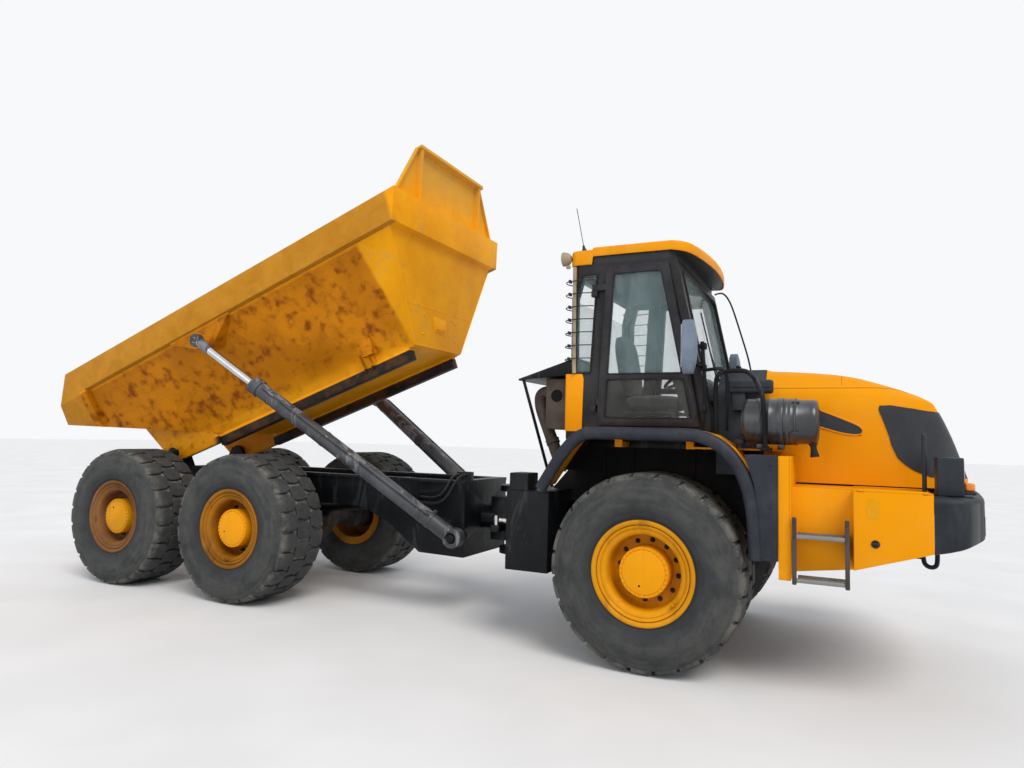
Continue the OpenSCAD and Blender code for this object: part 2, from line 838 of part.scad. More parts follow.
module cab_frame() {
    color([0.15, 0.15, 0.16])
        from_axle() {
            both_sides()
                difference() {
                    side_plate(cab_half_w - post_t, cab_half_w)
                        cab_outline(0);
                    side_plate(cab_half_w - post_t - 1, cab_half_w + 1)
                        door_outline(0);
                    side_plate(cab_half_w - post_t - 1, cab_half_w + 1)
                        rear_quarter_outline(0);
                    rear_corner_cut();
                }
            // Floor and roof ring
            box_between([-cab_back, -cab_half_w + post_t - 1, cab_floor_z],
                [cab_front, cab_half_w - post_t + 1, cab_floor_z + 50]);
            difference() {
                box_between([-cab_back + 60, -cab_half_w + post_t - 1, cab_ring_z - 50],
                    [ring_front, cab_half_w - post_t + 1, cab_ring_z]);
                box_between([-cab_back + 160, -cab_half_w + 160, cab_ring_z - 60],
                    [ring_front - 120, cab_half_w - 160, cab_ring_z + 1]);
            }
            // Rear wall and front wall, each with its window
            difference() {
                side_plate(-cab_half_w + post_t - 1, cab_half_w - post_t + 1)
                    difference() {
                        cab_outline(0);
                        cab_outline(50);
                    }
                cross_plate(-cab_back - 1, -500)
                    polygon([[-700, 2300], [700, 2300], [700, 3060], [-700, 3060]]);
                cross_plate(0, cab_front + 1)
                    windscreen_outline(0);
                both_sides()
                    rear_corner_cut();
            }
            // Hinge lugs of the doors and brackets of the mirrors
            both_sides() {
                for (z = door_hinge_z) {
                    box_between([door_pin_x - 25, cab_half_w - 1, z],
                        [door_pin_x + 25, cab_half_w + 55, z + 50]);
                    translate([door_pin_x, door_pin_y, z + 49])
                        cylinder(r = 10, h = 51);
                }
                box_between([280, cab_half_w - 30, 2290], [325, cab_half_w + 50, 2320]);
            }
        }
}

module cab_roof() {
    step_z = roof_z - 60;
    color(paint)
        from_axle()
            intersection() {
                side_plate(-cab_half_w - 10, cab_half_w + 10)
                    polygon([[-cab_back + 30, cab_ring_z + seat_gap], [430, cab_ring_z - 40],
                        [470, cab_ring_z - 20],
                        [400, roof_z - 60], [250, roof_z], [-560, roof_z + 8], [-600, step_z],
                        [-cab_back + 10, step_z - 10], [-cab_back, cab_ring_z + 30]]);
                translate([0, 0, cab_ring_z - 100])
                    linear_extrude(400)
                        polygon([[-cab_back, -cab_half_w], [160, -cab_half_w], [330, -cab_half_w + 90],
                            [450, -500], [480, 0], [450, 500], [330, cab_half_w - 90], [160, cab_half_w],
                            [-cab_back, cab_half_w]]);
                union() {
                    box_between([-1000, -1000, cab_ring_z + seat_gap],
                        [ring_front + 41, 1000, roof_z + 100]);
                    box_between([ring_front + 40, -1000, cab_ring_z - 100], [1000, 1000, roof_z + 100]);
                }
            }
}

module cab_glass() {
    color([0.5, 0.65, 0.62, 0.5])
        from_axle() {
            both_sides()
                side_plate(cab_half_w - 30, cab_half_w - 30 + glass_t)
                    rear_quarter_outline(seat_gap);
            cross_plate(-cab_back + 20, -cab_back + 20 + glass_t)
                polygon([[-699.7, 2300.3], [699.7, 2300.3], [699.7, 2890], [-699.7, 2890]]);
            intersection() {
                side_plate(-900, 900)
                    polygon([for (p = [[1900, 20], [3130, 20], [3130, 20 + glass_t], [1900, 20 + glass_t]])
                        [screen_x(p[0]) - p[1], p[0]]]);
                cross_plate(0, cab_front)
                    windscreen_outline(seat_gap);
            }
        }
}

module seat() {
    color([0.18, 0.18, 0.2])
        from_axle() {
            box_between([-420, -200, cab_floor_z + 50 + seat_gap], [-20, 200, 1961]);
            box_between([-480, -250, 1961], [40, 250, 2110]);
            translate([-440, 0, 2110])
                rotate([0, -10, 0])
                    translate([-60, -240, 0])
                        cube([130, 480, 560]);
        }
}

column_foot = [150, 0, 2110];
column_tilt = 32;

module dashboard() {
    color([0.13, 0.13, 0.14])
        from_axle() {
            side_plate(-780, 780)
                polygon([[100, 2190], [screen_x(2240) - 62, 2240], [screen_x(2100) - 62, 2100],
                    [screen_x(1970) - 62, 1970], [cab_front - 62, sill_z + 60], [220, sill_z + 60],
                    [180, 1970]]);
            box_between([220, -780, cab_floor_z + 50 + seat_gap], [cab_front - 62, 780, sill_z + 61]);
            translate([column_foot[0], 0, column_foot[2]])
                rotate([0, -column_tilt, 0])
                    cylinder(r = 45, h = 190);
            translate([column_foot[0], 0, column_foot[2]])
                rotate([0, -column_tilt, 0])
                    cylinder(r = 12, h = 235);
        }
}

module steering_wheel() {
    color([0.1, 0.1, 0.1])
        from_axle()
            translate([column_foot[0], 0, column_foot[2]])
                rotate([0, -column_tilt, 0])
                    translate([0, 0, 215]) {
                        rotate_extrude()
                            translate([200, 0])
                                circle(r = 15);
                        difference() {
                            translate([0, 0, -15])
                                cylinder(r = 45, h = 45);
                            translate([0, 0, -16])
                                cylinder(r = 12 + bore_gap, h = 40);
                        }
                        for (a = [0, 120, 240])
                            rotate([0, 0, a])
                                translate([35, -14, -6])
                                    cube([155, 28, 12]);
                    }
}

module mirrors() {
    color([0.3, 0.3, 0.32])
        from_axle()
            both_sides() {
                rod_between([303, cab_half_w + 52.1 + seat_gap, 2305], [315, 1120, 2340], 12);
                cross_plate(270, 330)
                    polygon([[1050, 2250], [1085, 2206], [1185, 2206], [1220, 2250], [1220, 2570],
                        [1185, 2615], [1085, 2615], [1050, 2570]]);
            }
}

module handrails() {
    color(steel_black)
        from_axle()
            both_sides() {
                tube_run([[470, 900, fender_z - 33 + seat_gap], [460, 900, 2140], [520, 920, 2235],
                    [700, 960, 2240], [830, body_half_w - 68, 2060],
                    [850, body_half_w - 64, fender_z - 130]], 14);
                box_between([820, 1000, fender_z - 150], [880, body_half_w - 45, fender_z - 125]);
            }
}

module door(s) {
    color([0.15, 0.15, 0.16])
        from_axle()
            mirror([0, s < 0 ? 1 : 0, 0]) {
                difference() {
                    side_plate(cab_half_w + 3, cab_half_w + 3 + door_t)
                        door_outline(-18);
                    side_plate(cab_half_w, cab_half_w + 50)
                        difference() {
                            door_outline(45);
                            translate([-600, 2190])
                                square([1200, 45]);
                        }
                }
                // Hinge arms and barrel
                for (z = door_hinge_z)
                    difference() {
                        union() {
                            translate([door_pin_x, door_pin_y, z + 51])
                                cylinder(r = 22, h = 50);
                            box_between([door_pin_x, cab_half_w + 22, z + 51],
                                [door_foot_rear + door_lean(z) + 20, cab_half_w + 3 + door_t, z + 101]);
                        }
                        translate([door_pin_x, door_pin_y, z])
                            cylinder(r = 10 + bore_gap, h = 150);
                    }
                // Handle
                rod_between([315, cab_half_w + 62, 1900], [262, cab_half_w + 62, 2120], 12);
                rod_between([311, cab_half_w + 20, 1915], [311, cab_half_w + 62, 1915], 9);
                rod_between([266, cab_half_w + 20, 2105], [266, cab_half_w + 62, 2105], 9);
            }
}

module door_glass(s) {
    color([0.5, 0.65, 0.62, 0.5])
        from_axle()
            mirror([0, s < 0 ? 1 : 0, 0])
                side_plate(cab_half_w + 20, cab_half_w + 20 + glass_t)
                    difference() {
                        door_outline(45 + seat_gap);
                        translate([-600, 2190 - seat_gap])
                            square([1200, 45 + 2 * seat_gap]);
                    }
}

// Bonnet outline seen from the side, drawn inside by t
module bonnet_side(t) {
    low_z = bonnet_low_z - (t > 0 ? 2 : 0);
    polygon([[bonnet_rear - 1, low_z], [bonnet_nose + 16 - t, low_z],
        [2155 - t, 1706], [2085 - t, 1900 - t / 2], [2015 - t, 2035 - t], [1850 - t / 2, 2100 - t],
        [1601, 2171 - t], [1294, 2248 - t], [1000, 2280 - t], [bonnet_rear - 1, bonnet_top_z - t]]);
}

// Bonnet outline seen from above, drawn inside by t
module bonnet_plan(t) {
    w = bonnet_half_w - t;
    polygon([[0, -w], [1700, -w], [1950, -w + 30], [2100, -w + 130], [2300, -w + 330],
        [2300, w - 330], [2100, w - 130], [1950, w - 30], [1700, w], [0, w]]);
}

// Bonnet section seen from the front, drawn inside by t
module bonnet_section(t) {
    w = bonnet_half_w - t;
    polygon([[-w, 1000], [w, 1000], [w, 1980 - t / 2], [w - 40, 2110 - t], [w - 160, 2200 - t],
        [w - 330, 2400 - t], [-w + 330, 2400 - t], [-w + 160, 2200 - t], [-w + 40, 2110 - t],
        [-w, 1980 - t / 2]]);
}

module bonnet_solid(t, x_from) {
    intersection() {
        side_plate(-900, 900)
            bonnet_side(t);
        translate([0, 0, 1000])
            linear_extrude(1500)
                bonnet_plan(t);
        cross_plate(x_from, 2400)
            bonnet_section(t);
    }
}

module cowl() {
    color(paint)
        from_axle() {
            difference() {
                intersection() {
                    cross_plate(cab_front + 12, bonnet_rear - 4)
                        bonnet_section(0);
                    box_between([0, -800, bonnet_low_z + 5], [1000, 800, bonnet_top_z]);
                }
                intersection() {
                    cross_plate(cab_front + 30, bonnet_rear)
                        bonnet_section(skin_t);
                    box_between([0, -800, bonnet_low_z - 300], [1000, 800, bonnet_top_z - skin_t]);
                }
            }
            // Firewall down to the chassis rails
            box_between([cab_front + 40, -560, rail_top_z + seat_gap], [cab_front + 52, 560, 2000]);
            both_sides()
                box_between([cab_front + 40, 559, 1600], [cab_front + 52, bonnet_half_w - 5, 1700]);
        }
}

module bonnet() {
    color(paint)
        from_axle()
            difference() {
                bonnet_solid(0, bonnet_rear);
                bonnet_solid(skin_t, bonnet_rear - 5);
                // Mouth of the grille in the sloping nose
                cross_plate(1990, 2400)
                    polygon([[-420, 1500], [420, 1500], [420, 1960], [-420, 1960]]);
            }
    // Knuckles of the hinge at the foot of the nose
    color(paint)
        from_axle()
            both_sides()
                difference() {
                    union() {
                        pin_y(hinge_x, hinge_z, 291, 329, 24);
                        box_between([hinge_x, 291, hinge_z + 4], [bonnet_nose + 6, 329, hinge_z + 22]);
                    }
                    pin_y(hinge_x, hinge_z, 200, 400, hinge_pin_r + bore_gap);
                }
}

module grille() {
    color(steel_black)
        from_axle()
            intersection() {
                difference() {
                    bonnet_solid(2, 1700);
                    bonnet_solid(40, 1600);
                }
                difference() {
                    cross_plate(1990, 2400)
                        polygon([[-419.7, 1500.3], [419.7, 1500.3], [419.7, 1959.7], [-419.7, 1959.7]]);
                    both_sides()
                        for (z = [1522 : 42 : 1920])
                            box_between([1980, 12, z], [2410, 400, z + 24]);
                }
            }
}

// Side outline of the rear frame
module frame_outline() {
    x0 = -frame_front;
    x1 = -frame_rear;
    polygon([[x0, frame_low_z], [x0, frame_top_z], [-bed_pin_back + 190, frame_top_z],
        [-bed_pin_back + 75, bed_pin_z + 60], [-bed_pin_back, bed_pin_z + 92],
        [-bed_pin_back - 75, bed_pin_z + 60], [-bed_pin_back - 190, frame_top_z], [x1, frame_top_z - 60],
        [x1, frame_arch_z + 60], [x1 + 120, frame_arch_z], [-3250, frame_arch_z], [-3080, frame_arch_z - 30],
        [-2780, 790], [-2450, frame_low_z + 10]]);
}

module rear_frame() {
    beam_in = 500;
    beam_out = 590;
    mid_x = axle_x[1];
    rear_x = axle_x[2];
    pivot_x = (mid_x + rear_x) / 2;
    pad_z = wheel_z + axle_tube_r + seat_gap;
    color(steel_black)
        from_axle() {
            both_sides() {
                side_plate(frame_half_w - frame_plate_t, frame_half_w)
                    frame_outline();
                // Top flange
                box_between([-5600, frame_half_w - frame_plate_t - 40, frame_top_z - 30],
                    [-frame_front, frame_half_w + 10, frame_top_z]);
                // Tipping pin with its cap
                pin_y(-bed_pin_back, bed_pin_z, frame_half_w - 2, 560, bed_pin_r);
                pin_y(-bed_pin_back, bed_pin_z, 560, 578, bed_pin_r + 22);
                // Lower pin of the hoist cylinder with its ball
                pin_y(-hoist_low_back, hoist_low_z, frame_half_w - 2, hoist_low_y + 72, hoist_pin_r);
                translate([-hoist_low_back, hoist_low_y, hoist_low_z])
                    sphere(r = hoist_ball_r);
                pin_y(-hoist_low_back, hoist_low_z, frame_half_w - 2, hoist_low_y - 90, 62);
                // Walking beam with its pivot and its pads on the axles
                side_plate(beam_in, beam_out)
                    polygon([[mid_x + 110, pad_z], [mid_x + 110, 930], [pivot_x, 1010], [rear_x - 110, 930],
                        [rear_x - 110, pad_z], [rear_x + 130, pad_z], [pivot_x, 900], [mid_x - 130, pad_z]]);
                pin_y(pivot_x, 1010 - 50, frame_half_w - 2, beam_in + 1, 45);
            }
            // Front bulkhead that holds the journal
            difference() {
                box_between([-frame_front - 120, -frame_half_w + 10, frame_low_z],
                    [-frame_front, frame_half_w - 10, frame_top_z]);
                translate([-frame_front - 130, 0, roll_z])
                    rotate([0, 90, 0])
                        cylinder(r = journal_r + bore_gap, h = 140);
            }
            // Hose manifold on the frame's front, and the hoses' clamp
            box_between([-2095, hose_from_y, frame_top_z - 1], [-1955, hose_from_y + 90, 1352]);
            box_between([hose_to_x - 50, -545, 1020], [hose_to_x, -frame_half_w + 1, 1130]);
            for (x = [-3060, -5015, -frame_rear + 60])
                box_between([x - 50, -frame_half_w + 10, frame_arch_z + 20],
                    [x + 50, frame_half_w - 10, frame_top_z - 40]);
            // Drawbar of the middle axle
            both_sides()
                rod_between([-3060, 250, 965], [mid_x + 140, 60, 856], 45);
        }
}

// Routes of the two hydraulic hoses from the manifold on the frame's front down
// to the clamp beside the hoist barrel
hose_from_y = -360;
hose_to_x = -2420;
outer_hose = [[-1990, hose_from_y, 1322], [-1990, -430, 1322], [-2005, -490, 1295], [-2035, -520, 1230],
    [-2070, -530, 1160], [-2120, -535, 1095], [-2190, -535, 1055], [-2270, -530, 1045],
    [-2350, -520, 1050], [hose_to_x, -520, 1050]];
inner_hose = [[-2060, hose_from_y, 1322], [-2060, -430, 1322], [-2075, -480, 1300], [-2100, -505, 1240],
    [-2130, -515, 1180], [-2175, -520, 1130], [-2235, -520, 1105], [-2300, -515, 1098],
    [-2360, -505, 1100], [hose_to_x, -505, 1100]];
hose_r = 14;

function unit(v) = v / norm(v);
function tangent(p, i) = unit(p[min(i + 1, len(p) - 1)] - p[max(i - 1, 0)]);
function ring(p, i, r, n) =
    let (t = tangent(p, i), a = unit(cross(t, [1, -1, 1])), b = cross(t, a))
    [for (k = [0 : n - 1]) p[i] + r * cos(360 * k / n) * a + r * sin(360 * k / n) * b];

module sweep(p, r, n) {
    m = len(p);
    verts = [for (i = [0 : m - 1]) each ring(p, i, r, n)];
    sides = [for (i = [0 : m - 2], k = [0 : n - 1], half = [0, 1])
        half == 0 ? [i * n + k, i * n + (k + 1) % n, (i + 1) * n + (k + 1) % n]
            : [i * n + k, (i + 1) * n + (k + 1) % n, (i + 1) * n + k]];
    start = [for (k = [n - 1 : -1 : 0]) k];
    finish = [for (k = [0 : n - 1]) (m - 1) * n + k];
    polyhedron(points = verts, faces = concat(sides, [start, finish]), convexity = 6);
}

module hoist_hoses() {
    color(rubber)
        from_axle() {
            sweep(outer_hose, hose_r, 10);
            sweep(inner_hose, hose_r, 10);
        }
}

function wall_w(v) = floor_half_w + (wall_half_w - floor_half_w) * min(v, rail_low) / rail_low;

// Side outline of the bed in u and v, drawn inside by t and open at the tail
module bed_side(t) {
    lean = tan(head_lean);
    front_u = -t / cos(head_lean);
    top = t > 0 ? rail_high + 100 : rail_high;
    kink_u = -floor_len + t * tan(tail_rise / 2);
    reach = t > 0 ? 400 : 0;
    polygon([[front_u + lean * t, t], [front_u + lean * top, top], [rail_tail_u - reach, top],
        [tail_u - reach, tail_v + reach * tan(tail_rise) + (t > 0 ? t / cos(tail_rise) : 0)], [kink_u, t]]);
}

// Section of the bed across its length, drawn inside by t
module bed_section(t) {
    top = t > 0 ? rail_high + 200 : rail_high;
    slope = (wall_half_w - floor_half_w) / rail_low;
    side = t * sqrt(1 + slope * slope);
    polygon([[-floor_half_w + side + slope * 100, -100], [floor_half_w - side - slope * 100, -100],
        [wall_half_w - side, rail_low], [wall_half_w - side, top], [-wall_half_w + side, top],
        [-wall_half_w + side, rail_low]]);
}

module bed_prism(t) {
    intersection() {
        side_plate(-1200, 1200)
            bed_side(t);
        cross_plate(tail_u - 500, 1000)
            bed_section(t);
    }
}

// A slab along the front wall, between two heights above the floor, that starts
// at depth back behind the wall's outer face and stands out in front of it
module front_slab(v_from, v_to, w_from, w_to, back, out) {
    lean = tan(head_lean);
    intersection() {
        side_plate(-1200, 1200)
            polygon([[lean * v_from - back, v_from], [lean * v_from + out, v_from],
                [lean * v_to + out, v_to], [lean * v_to - back, v_to]]);
        cross_plate(-500, 1500)
            polygon([[-w_from, v_from], [w_from, v_from], [w_to, v_to], [-w_to, v_to]]);
    }
}

module bed_shell() {
    lean = tan(head_lean);
    difference() {
        bed_prism(0);
        bed_prism(bed_t);
    }
    both_sides() {
        // Rail along the top of the side wall
        side_plate(wall_half_w - 25, rail_out_w)
            polygon([[rail_tail_u + 130, rail_low], [lean * rail_low, rail_low],
                [lean * rail_high, rail_high], [rail_tail_u, rail_high]]);
        // Post at the tail
        intersection() {
            side_plate(0, 1200)
                polygon([[rail_tail_u, rail_high], [tail_u, tail_v], [tail_u + 450, tail_v - 176],
                    [rail_tail_u + 310, rail_low], [rail_tail_u + 310, rail_high]]);
            cross_plate(tail_u - 50, 0)
                polygon([[wall_w(500) - 8, 500], [wall_w(500) + 70, 500], [rail_out_w, rail_low - 40],
                    [rail_out_w, rail_high], [wall_half_w - 25, rail_high], [wall_half_w - 8, rail_low]]);
        }
        // Bracket of the hoist rod under the rail, with its boss
        side_plate(wall_w(745) - 5, rail_out_w - 35)
            polygon([for (p = [[-563, rail_low + 10], [-83, 745], [77, 745], [317, 930],
                [397, rail_low + 10]]) [p[0] - hoist_eye_u, p[1]]]);
        pin_y(-hoist_eye_u, hoist_eye_v, wall_w(745), hoist_high_y - hoist_eye_t / 2 - 25, 46);
        // Bracket plate low on the wall near the front
        side_plate(wall_w(120), wall_w(120) + 75)
            polygon([[-560, 60], [-560, 230], [-420, 230], [-420, 60]]);
        // Beam under the floor and bracket of the tipping pin
        box_between([-floor_len - 60, frame_half_w - 70, -126], [-80, frame_half_w + 15, 2]);
        difference() {
            side_plate(frame_half_w + 10, frame_half_w + 65)
                polygon([[-floor_len - 1180, 1180 * tan(tail_rise) + 5],
                    [-floor_len - 280, 280 * tan(tail_rise) + 4], [-floor_len - 40, 2],
                    [-floor_len - 40, -100], [-floor_front + 70, -95],
                    [-floor_front - 70, -95]]);
            pin_y(-floor_front, 0, 400, 700, bed_pin_r + bore_gap);
        }
    }
    // Band across the front wall and the headboard above it
    front_slab(rail_low, rail_high, rail_out_w, rail_out_w, bed_t / 2, 75);
    front_slab(rail_high, head_high, wall_half_w - 15, head_half_w, bed_t, -1);
    front_slab(head_high - 30, head_high - 2, head_half_w + 12, head_half_w + 2, bed_t / 2, 70);
    both_sides() {
        // Rib at each end of the headboard's flange
        intersection() {
            front_slab(rail_high - 5, head_high - 10, wall_half_w, wall_half_w, bed_t / 2, 62);
            box_between([0, head_half_w - 60, rail_high - 5], [900, head_half_w - 30, head_high]);
        }
        // Flange down each sloping side of the headboard
        intersection() {
            front_slab(rail_high - 5, head_high - 12, wall_half_w, wall_half_w, bed_t / 2, 30);
            cross_plate(0, 1500)
                polygon([[wall_half_w - 37, rail_high - 5], [wall_half_w - 12, rail_high - 5],
                    [head_half_w + 4, head_high - 12], [head_half_w - 21, head_high - 12]]);
        }
    }
}

module bed() {
    color(paint)
        from_axle()
            translate([-floor_edge_back, 0, floor_edge_z])
                rotate([0, -bed_angle, 0])
                    bed_shell();
}

// Puts a part, drawn along Z from the lower eye, on the hoist's line on side s
module on_hoist(s) {
    from_axle()
        mirror([0, s < 0 ? 0 : 1, 0])
            translate([-hoist_low_back, -hoist_low_y, hoist_low_z])
                rotate([0, 90 - hoist_lift, hoist_turn])
                    children();
}

module at_hoist_pin(s) {
    from_axle()
        mirror([0, s < 0 ? 0 : 1, 0])
            children();
}

module hoist_barrel(s) {
    color(steel_black)
        difference() {
            union() {
                on_hoist(s)
                    translate([0, 0, 60])
                        cylinder(r = hoist_barrel_r, h = hoist_barrel_len - 60);
                on_hoist(s)
                    translate([0, 0, hoist_barrel_len - 90])
                        cylinder(r = hoist_barrel_r + 9, h = 90);
                at_hoist_pin(s)
                    pin_y(-hoist_low_back, hoist_low_z, -hoist_low_y - 55, -hoist_low_y + 55, 92);
            }
            on_hoist(s)
                translate([0, 0, 260])
                    cylinder(r = hoist_rod_r + bore_gap, h = hoist_barrel_len);
            at_hoist_pin(s)
                pin_y(-hoist_low_back, hoist_low_z, -hoist_low_y - 200, -hoist_low_y + 200,
                    hoist_pin_r + 12);
            at_hoist_pin(s)
                translate([-hoist_low_back, -hoist_low_y, hoist_low_z])
                    sphere(r = hoist_ball_r + bore_gap);
        }
}

module hoist_rod(s) {
    color("silver") {
        on_hoist(s)
            translate([0, 0, hoist_len - hoist_rod_len])
                cylinder(r = hoist_rod_r, h = hoist_rod_len - 30);
        on_hoist(s)
            translate([0, 0, hoist_len - 190])
                cylinder(r = hoist_rod_r + 3, h = 150);
        at_hoist_pin(s)
            pin_y(eye_x, eye_z, -hoist_high_y - hoist_eye_t / 2, -hoist_high_y + hoist_eye_t / 2, 66);
    }
}

// Puts a part, drawn along Z from the front eye, on the steering cylinder of side s
module on_steer(s) {
    from_axle()
        mirror([0, s < 0 ? 1 : 0, 0])
            translate([steer_low[0], steer_low[1], steer_z])
                rotate([0, 90, steer_turn])
                    children();
}

module steer_barrel(s) {
    color(steel_black)
        on_steer(s)
            difference() {
                union() {
                    translate([0, 0, 34])
                        cylinder(r = steer_barrel_r, h = steer_barrel_len - 34);
                    rotate([0, 90, 0])
                        cylinder(r = 52, h = 98, center = true);
                }
                translate([0, 0, 70])
                    cylinder(r = steer_rod_r + bore_gap, h = steer_barrel_len);
                rotate([0, 90, 0])
                    cylinder(r = 22 + bore_gap, h = 200, center = true);
            }
}

module steer_rod(s) {
    color("silver")
        on_steer(s) {
            translate([0, 0, steer_rod_foot])
                cylinder(r = steer_rod_r, h = steer_len - steer_rod_foot - 20);
            translate([0, 0, steer_len])
                rotate([0, 90, 0])
                    cylinder(r = 40, h = 90, center = true);
        }
}

tyre(0, -1);  // tyre_front_right
tyre(0, 1);  // tyre_front_left
tyre(1, -1);  // tyre_mid_right
tyre(1, 1);  // tyre_mid_left
tyre(2, -1);  // tyre_rear_right
tyre(2, 1);  // tyre_rear_left
rim(0, -1);  // rim_front_right
rim(0, 1);  // rim_front_left
rim(1, -1);  // rim_mid_right
rim(1, 1);  // rim_mid_left
rim(2, -1);  // rim_rear_right
rim(2, 1);  // rim_rear_left
front_axle();
bogie_axle(1);  // mid_axle
bogie_axle(2);  // rear_axle
front_chassis();
outriggers();
chassis_posts();
engine_block();
bumper();
lamps();
side_boxes();
box_lid(-1);  // box_lid_right
box_lid(1);  // box_lid_left
steps();
fenders();
fender_trims();
side_tanks();
rear_deck();
exhaust();
air_cleaner();
cab_frame();
cab_roof();
cab_glass();
seat();
dashboard();
steering_wheel();
mirrors();
handrails();
door(-1);  // door_right
door(1);  // door_left
door_glass(-1);  // door_glass_right
door_glass(1);  // door_glass_left
cowl();
bonnet();
grille();
swivel_block();
rear_frame();
hoist_hoses();
bed();
hoist_barrel(-1);  // hoist_barrel_right
hoist_barrel(1);  // hoist_barrel_left
hoist_rod(-1);  // hoist_rod_right
hoist_rod(1);  // hoist_rod_left
steer_barrel(-1);  // steer_barrel_right
steer_barrel(1);  // steer_barrel_left
steer_rod(-1);  // steer_rod_right
steer_rod(1);  // steer_rod_left
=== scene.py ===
"""Articulated six-wheel dump truck, dressed for its studio picture.

Lengths are metres. Stations along the truck are given from the front axle, and
at(x, y, z) turns them into the truck's own frame.
"""

import json
import math

import bmesh
import bpy
from mathutils import Matrix, Vector


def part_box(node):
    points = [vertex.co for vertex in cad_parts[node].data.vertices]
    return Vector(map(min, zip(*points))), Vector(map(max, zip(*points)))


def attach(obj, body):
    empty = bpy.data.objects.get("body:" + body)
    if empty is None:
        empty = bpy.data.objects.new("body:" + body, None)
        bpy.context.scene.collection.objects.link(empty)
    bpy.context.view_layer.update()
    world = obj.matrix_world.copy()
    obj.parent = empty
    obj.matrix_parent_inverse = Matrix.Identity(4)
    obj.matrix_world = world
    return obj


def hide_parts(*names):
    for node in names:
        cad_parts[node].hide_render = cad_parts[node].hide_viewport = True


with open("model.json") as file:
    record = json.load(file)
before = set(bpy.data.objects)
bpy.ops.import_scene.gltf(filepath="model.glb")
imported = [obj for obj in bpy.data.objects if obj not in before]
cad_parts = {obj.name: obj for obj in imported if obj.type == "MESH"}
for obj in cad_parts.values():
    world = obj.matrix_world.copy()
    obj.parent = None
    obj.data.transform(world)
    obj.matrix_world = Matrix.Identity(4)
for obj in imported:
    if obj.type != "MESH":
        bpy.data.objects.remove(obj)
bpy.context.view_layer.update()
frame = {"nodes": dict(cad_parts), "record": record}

TAU = 2 * math.pi
SIDES = (("right", -1), ("left", 1))
AXLE = sum(c.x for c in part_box("rim_front_right")) / 2
WHEEL_Z = sum(c.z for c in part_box("rim_front_right")) / 2
TYRE_R = 0.732
TRACK = 0.975
WHEELS = {"front": 0.0, "mid": -4.152, "rear": -5.877}
TAIL_POST = -4.19
BED_X, BED_Z = -2.5639, 2.606
BED_EDGE = Vector((BED_X, 0, BED_Z))
BED_TILT = math.radians(20)
WALL_SLOPE = 0.3959
WALL_LEAN = math.radians(21.6)
FLANK_SLOPE = 0.56
HALF_FLOOR = 0.45
HOIST_FOOT = (-1.97, -0.6, 0.75)
HOIST_EYE = (-4.849, -1.16, 2.636)


def at(x, y, z):
    """A point given from the front axle, in the truck's frame."""
    return Vector((AXLE + x, y, z))


ORIGIN = at(0, 0, 0)


# Camera and light


def place_camera():
    """The photographer stood a little ahead of the front axle on the truck's right, at eye height."""
    yaw, pitch, roll = 0.4494, 0.0727, 0.0248
    forward = Vector((-math.sin(yaw) * math.cos(pitch), math.cos(yaw) * math.cos(pitch), math.sin(pitch)))
    level = Vector((math.cos(yaw), math.sin(yaw), 0))
    up = level.cross(forward)
    right = math.cos(roll) * level + math.sin(roll) * up
    top = -math.sin(roll) * level + math.cos(roll) * up
    lens = bpy.data.cameras.new("photo camera")
    lens.sensor_width = 36
    lens.lens = 24.988
    lens.clip_end = 200
    camera = bpy.data.objects.new("photo camera", lens)
    turn = Matrix((right, top, -forward)).transposed().to_4x4()
    camera.matrix_world = Matrix.Translation(at(1.4105, -6.4363, 1.7139)) @ turn
    bpy.context.scene.collection.objects.link(camera)
    bpy.context.scene.camera = camera


def add_lamp(name, kind, strength, place, aim, **settings):
    data = bpy.data.lights.new(name, kind)
    data.energy = strength
    for key, value in settings.items():
        setattr(data, key, value)
    lamp = bpy.data.objects.new(name, data)
    lamp.location = place
    lamp.rotation_euler = (Vector(aim) - Vector(place)).to_track_quat("-Z", "Y").to_euler()
    bpy.context.scene.collection.objects.link(lamp)


place_camera()
bpy.context.scene.view_settings.view_transform = "Standard"


# Hoses

HOSE_LINES = {
    "outer": ((-1.99, -0.36, 1.322), (-1.99, -0.43, 1.322), (-2.005, -0.49, 1.295), (-2.035, -0.52, 1.23),
              (-2.07, -0.53, 1.16), (-2.12, -0.535, 1.095), (-2.19, -0.535, 1.055), (-2.27, -0.53, 1.045),
              (-2.35, -0.52, 1.05), (-2.42, -0.52, 1.05)),
    "inner": ((-2.06, -0.36, 1.322), (-2.06, -0.43, 1.322), (-2.075, -0.48, 1.3), (-2.1, -0.505, 1.24),
              (-2.13, -0.515, 1.18), (-2.175, -0.52, 1.13), (-2.235, -0.52, 1.105), (-2.3, -0.515, 1.098),
              (-2.36, -0.505, 1.1), (-2.42, -0.505, 1.1))}


def add_hose(name, points):
    """A pressure hose between two fittings, along the same points as its solid."""
    curve = bpy.data.curves.new(name, "CURVE")
    curve.dimensions = "3D"
    line = curve.splines.new("POLY")
    line.points.add(len(points) - 1)
    for knot, p in zip(line.points, points):
        knot.co = (*at(*p), 1)
        knot.radius = 0.014
    curve.bevel_depth = 1.0
    curve.bevel_resolution = 3
    curve.use_fill_caps = True
    hose = bpy.data.objects.new(name, curve)
    bpy.context.scene.collection.objects.link(hose)
    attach(hose, "rear_frame")
    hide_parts("hoist_hoses")
    tuple(at(*points[0]))
    return hose


hoses = [add_hose("hoist_hose_" + name, points) for name, points in HOSE_LINES.items()]


# Shader maths


